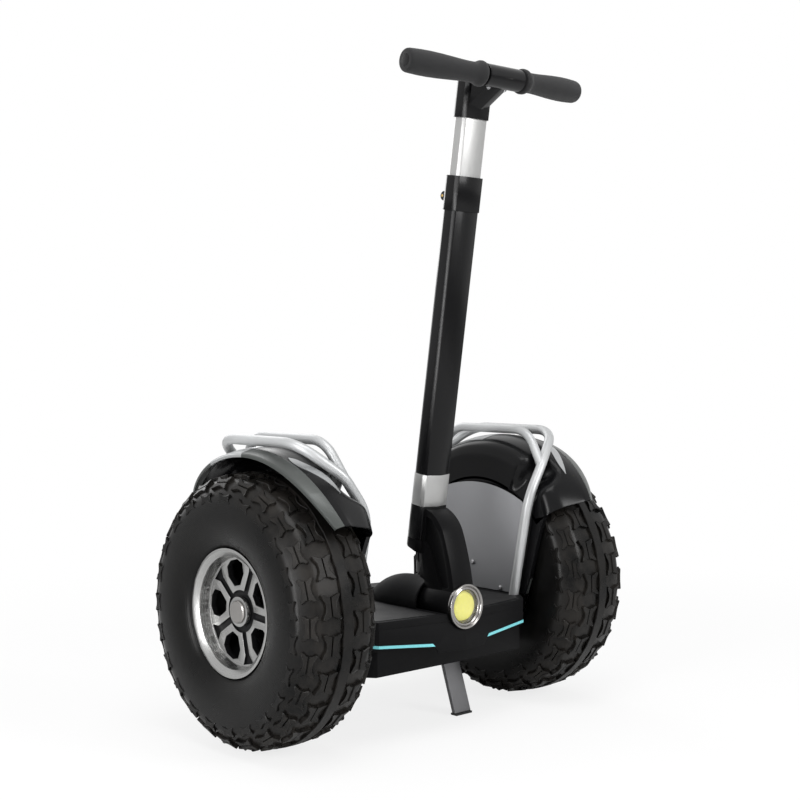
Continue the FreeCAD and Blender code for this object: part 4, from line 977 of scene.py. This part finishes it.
# %% The leaf and the patch, by degrees from the top and mm from the middle
LEAF_OUTER = [(-17.0, 322.0), (-19.5, 326.0), (-23.0, 326.0), (-28.5, 312.0), (-34.0, 297.0),
              (-39.5, 283.6)]
LEAF_INNER = [(-17.0, 321.0), (-19.5, 312.0), (-23.0, 306.5), (-28.5, 292.0), (-34.0, 283.5),
              (-39.5, 283.0)]
leaf = [(angle, inner, outer) for (angle, outer), (_, inner)
        in zip(corners_cut(LEAF_OUTER), corners_cut(LEAF_INNER))]
PATCH = [(1.5, 238, 356.5), (8, 239, 356.3), (14, 243, 355.8), (19, 250, 355), (22.5, 262, 354)]
front = inlay("front_leaf", leaf, 60)
rear = inlay("rear_patch", PATCH, 40)
left_accent = joined("left_fender_accent_dressed", [front, rear])
right_accent = mirrored(left_accent, "right_fender_accent_dressed")
placed(left_accent, "left_fender_accent")
placed(right_accent, "right_fender_accent")
print("inlays have", len(left_accent.data.polygons), "faces a side")

# %% [markdown]
# ## Side rails
# The rails are bent steel tube. A ring is drawn straight out along each run, and at a bend it is
# spun round the bend's middle, which is just what a tube bender does.

# %% Bent tube
TUBE_SIDES = 20
BEND_STEP = math.radians(6)


def piped(name, stops, bends, radius):
    """A round bar from stop to stop, with a bend of its own radius at each stop between."""
    runs = [(end - start).normalized() for start, end in zip(stops, stops[1:])]
    turn = runs[0].to_track_quat("Z", "Y").to_euler()
    tube = started("circle", name, vertices=TUBE_SIDES, radius=radius, fill_type="NOTHING",
                   location=stops[0], rotation=turn)
    here = stops[0]
    for number, run in enumerate(runs):
        target = stops[number + 1]
        if number == len(runs) - 1:
            bpy.ops.mesh.extrude_region_move(TRANSFORM_OT_translate={"value": tuple(target - here)})
            break
        ahead = runs[number + 1]
        corner = run.angle(ahead)
        trim = bends[number] * math.tan(corner / 2)
        bend_start = target - run * trim
        bpy.ops.mesh.extrude_region_move(TRANSFORM_OT_translate={"value": tuple(bend_start - here)})
        axis = run.cross(ahead).normalized()
        middle = bend_start + axis.cross(run) * bends[number]
        bpy.ops.mesh.spin(steps=max(round(corner / BEND_STEP), 3), angle=-corner,
                          center=middle, axis=axis)
        here = target + ahead * trim
    bpy.ops.mesh.edge_face_add()
    pick(tube, "VERT", lambda p: (p - stops[0]).length < radius * 1.05)
    bpy.ops.mesh.edge_face_add()
    closed_up()
    return finished(tube, 40.0)


print("tube bends in steps of", round(math.degrees(BEND_STEP)), "degrees")


# %% The two rails
def rail_point(x, y, z):
    return Vector((x * MM, AXLE.y + y * MM, z * MM))


RAIL_FRONT = [(204, -111.4, 217), (203, -150.5, 409), (249.5, -144.5, 476), (321, -107, 535)]
RAIL_REAR = [(321, 118, 535), (249.5, 151, 476), (203, 153, 409), (204, 111.4, 217)]
RAIL_BENDS = [96, 60, 60, 60, 60, 96]
RAIL_RADIUS = 9.4
BRANCH = [(247, -142, 474), (256.5, -99, 537.5), (256.5, 108, 537.5), (247, 149, 474)]
BRANCH_BENDS = [62, 62]
BRANCH_RADIUS = 8.8
outer = piped("left_rail_dressed", [rail_point(*p) for p in RAIL_FRONT + RAIL_REAR],
              [bend * MM for bend in RAIL_BENDS], RAIL_RADIUS * MM)
inner = piped("branch", [rail_point(*p) for p in BRANCH],
              [bend * MM for bend in BRANCH_BENDS], BRANCH_RADIUS * MM)
left_rail = joined("left_rail_dressed", [outer, inner])
right_rail = mirrored(left_rail, "right_rail_dressed")
placed(left_rail, "left_rail")
placed(right_rail, "right_rail")
print("rail has", len(left_rail.data.polygons), "faces")

# %% [markdown]
# ## Foam grips and the middle of the handlebar
# The grips are turned shapes on the two swept ends of the bar: a flange, a slim neck, a full palm
# and a flat cut end with a small hole. The foam shows in the finish. Between the grips the bar is
# held in a thick round clamp.

# %% Grips, by the share of their length and mm from the bar's axis
BAR_START = Vector((0.047, AXLE.y - 0.27182, 1.16678))
BAR_END = Vector((0.210, AXLE.y - 0.25482, 1.17078))
GRIP = [(0.0, 11.3), (0.0, 19.8), (0.012, 21.6), (0.03, 22.3), (0.052, 22.1), (0.075, 20.6), (0.1, 18.7),
        (0.135, 17.8), (0.2, 17.8), (0.3, 18.4), (0.42, 19.6), (0.56, 20.9), (0.7, 21.6), (0.82, 21.5),
        (0.92, 20.8), (0.965, 20.4), (0.985, 19.6), (0.996, 18.2), (1.0, 16.4), (1.0, 6.4),
        (0.99, 5.4), (0.957, 5.4), (0.957, 0)]
along = (BAR_END - BAR_START).normalized()
length = (BAR_END - BAR_START).length
upward = Vector((0, 0, 1)) - along * along.z
upward.normalize()
section = [BAR_START + along * length * share + upward * radius * MM for share, radius in GRIP]
section += [BAR_START + along * 2 * MM, section[0]]
left_grip = turned_piece("left_grip_dressed", section, along, BAR_START, 48, 36.0)
right_grip = mirrored(left_grip, "right_grip_dressed")
for grip, node in ((left_grip, "left_grip"), (right_grip, "right_grip")):
    placed(grip, node)
print("grip has", len(left_grip.data.polygons), "faces")

# %% Clamp round the bar
bar_middle = Vector((0, BAR_START.y, BAR_START.z))
CLAMP = [(-43, 15.6), (-43, 18.2), (-41.8, 19.4), (41.8, 19.4), (43, 18.2), (43, 15.6), (-43, 15.6)]
clamp = turned_piece("bar_clamp_dressed", [bar_middle + Vector((x * MM, 0, r * MM)) for x, r in CLAMP],
                     X_AXIS, bar_middle, 48)
placed(clamp, "bar_clamp", "bar_paint")
print("clamp has", len(clamp.data.polygons), "faces")

# %% Screws under the arms of the head
ARM_SCREW_X = 0.0205
ARM_SCREW_OUT = 0.3
SCREW_RADIUS = 3.4
SCREW_HEIGHT = 2.2


def socket_screw(name, place, direction, radius, height):
    """A round headed screw with a socket sunk in its head."""
    turn = direction.to_track_quat("Z", "Y").to_euler()
    screw = started("cylinder", name, vertices=18, radius=radius, depth=height * 2,
                    location=place, rotation=turn)
    pick(screw, "FACE", lambda p: (p - place).dot(direction) > height * 0.9)
    bpy.ops.mesh.bevel(offset=radius * 0.22, segments=2)
    pick(screw, "FACE", lambda p: (p - place).dot(direction) > height * 0.98)
    bpy.ops.mesh.inset(thickness=radius * 0.3)
    sink = direction * (-height * 0.6)
    bpy.ops.mesh.extrude_region_move(TRANSFORM_OT_translate={"value": tuple(sink)})
    closed_up()
    return finished(screw)


down = Vector((0, -0.55, -0.83)).normalized()
screws = [socket_screw(f"arm_screw_{side}", Vector((side * ARM_SCREW_X, AXLE.y - 0.2605, 1.1492)),
                       (down + Vector((side * ARM_SCREW_OUT, 0, 0))).normalized(),
                       SCREW_RADIUS * MM, SCREW_HEIGHT * MM)
          for side in (-1, 1)]
placed(joined("bracket_screws_dressed", screws), "bracket_screws")
print(len(screws), "screws")

# %% [markdown]
# ## Round lamp
# The lamp is a stack of turned rings: a rolled chrome bezel with a groove in it, a bright cone, a
# glowing disc and a domed glass.

# %% Lamp rings, in mm from the axle, minus to the front, and mm from the lamp's middle
LAMP = Vector((0, AXLE.y, 0.231))
LAMP_STEPS = 72


def lamp_ring(name, profile):
    points = [LAMP + Vector((0, y * MM, r * MM)) for y, r in profile]
    return turned_piece(name, points, (0, 1, 0), LAMP, LAMP_STEPS, 50.0)


BEZEL = [(-181.3, 30.2), (-186, 30.2), (-187.6, 31), (-188.6, 32.4), (-188.5, 33.9), (-187.5, 34.8),
         (-187.3, 35.6), (-188.9, 36.3), (-190.4, 37.4), (-190.9, 38.8), (-190.3, 40.1), (-188.8, 40.9),
         (-183, 41), (-181.3, 40.2), (-181.3, 30.2)]
placed(lamp_ring("headlight_bezel_dressed", BEZEL), "headlight_bezel")
DISC = [(-162.4, 0), (-162.4, 29.9), (-175.9, 29.9), (-175.9, 25.2), (-180, 25), (-181, 24),
        (-181.8, 18), (-182.2, 9), (-182.3, 0)]
placed(lamp_ring("headlight_lamp_dressed", DISC), "headlight_lamp")
GLASS = [(-184.6, 0), (-184.6, 29.8), (-185.4, 29.8), (-187, 22), (-187.9, 12), (-188.2, 0)]
placed(lamp_ring("headlight_lens_dressed", GLASS), "headlight_lens")
CONE = [(-176.1, 25.6), (-184.2, 29.4), (-184.4, 29.8), (-176.1, 29.8), (-176.1, 25.6)]
cone = lamp_ring("lamp_cone", CONE)
cone.data.materials.append(FINISH["lamp_chrome"])
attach(cone, body_of["headlight_lamp"])
print("lamp rings ready")

# %% Finishes for the solids that stay as they are
for name, thing in frame["nodes"].items():
    for slot in thing.material_slots:
        slot.material = FINISH[SLOT[name]]
    if not thing.hide_render:
        alone(thing)
        print("solid kept:", name)
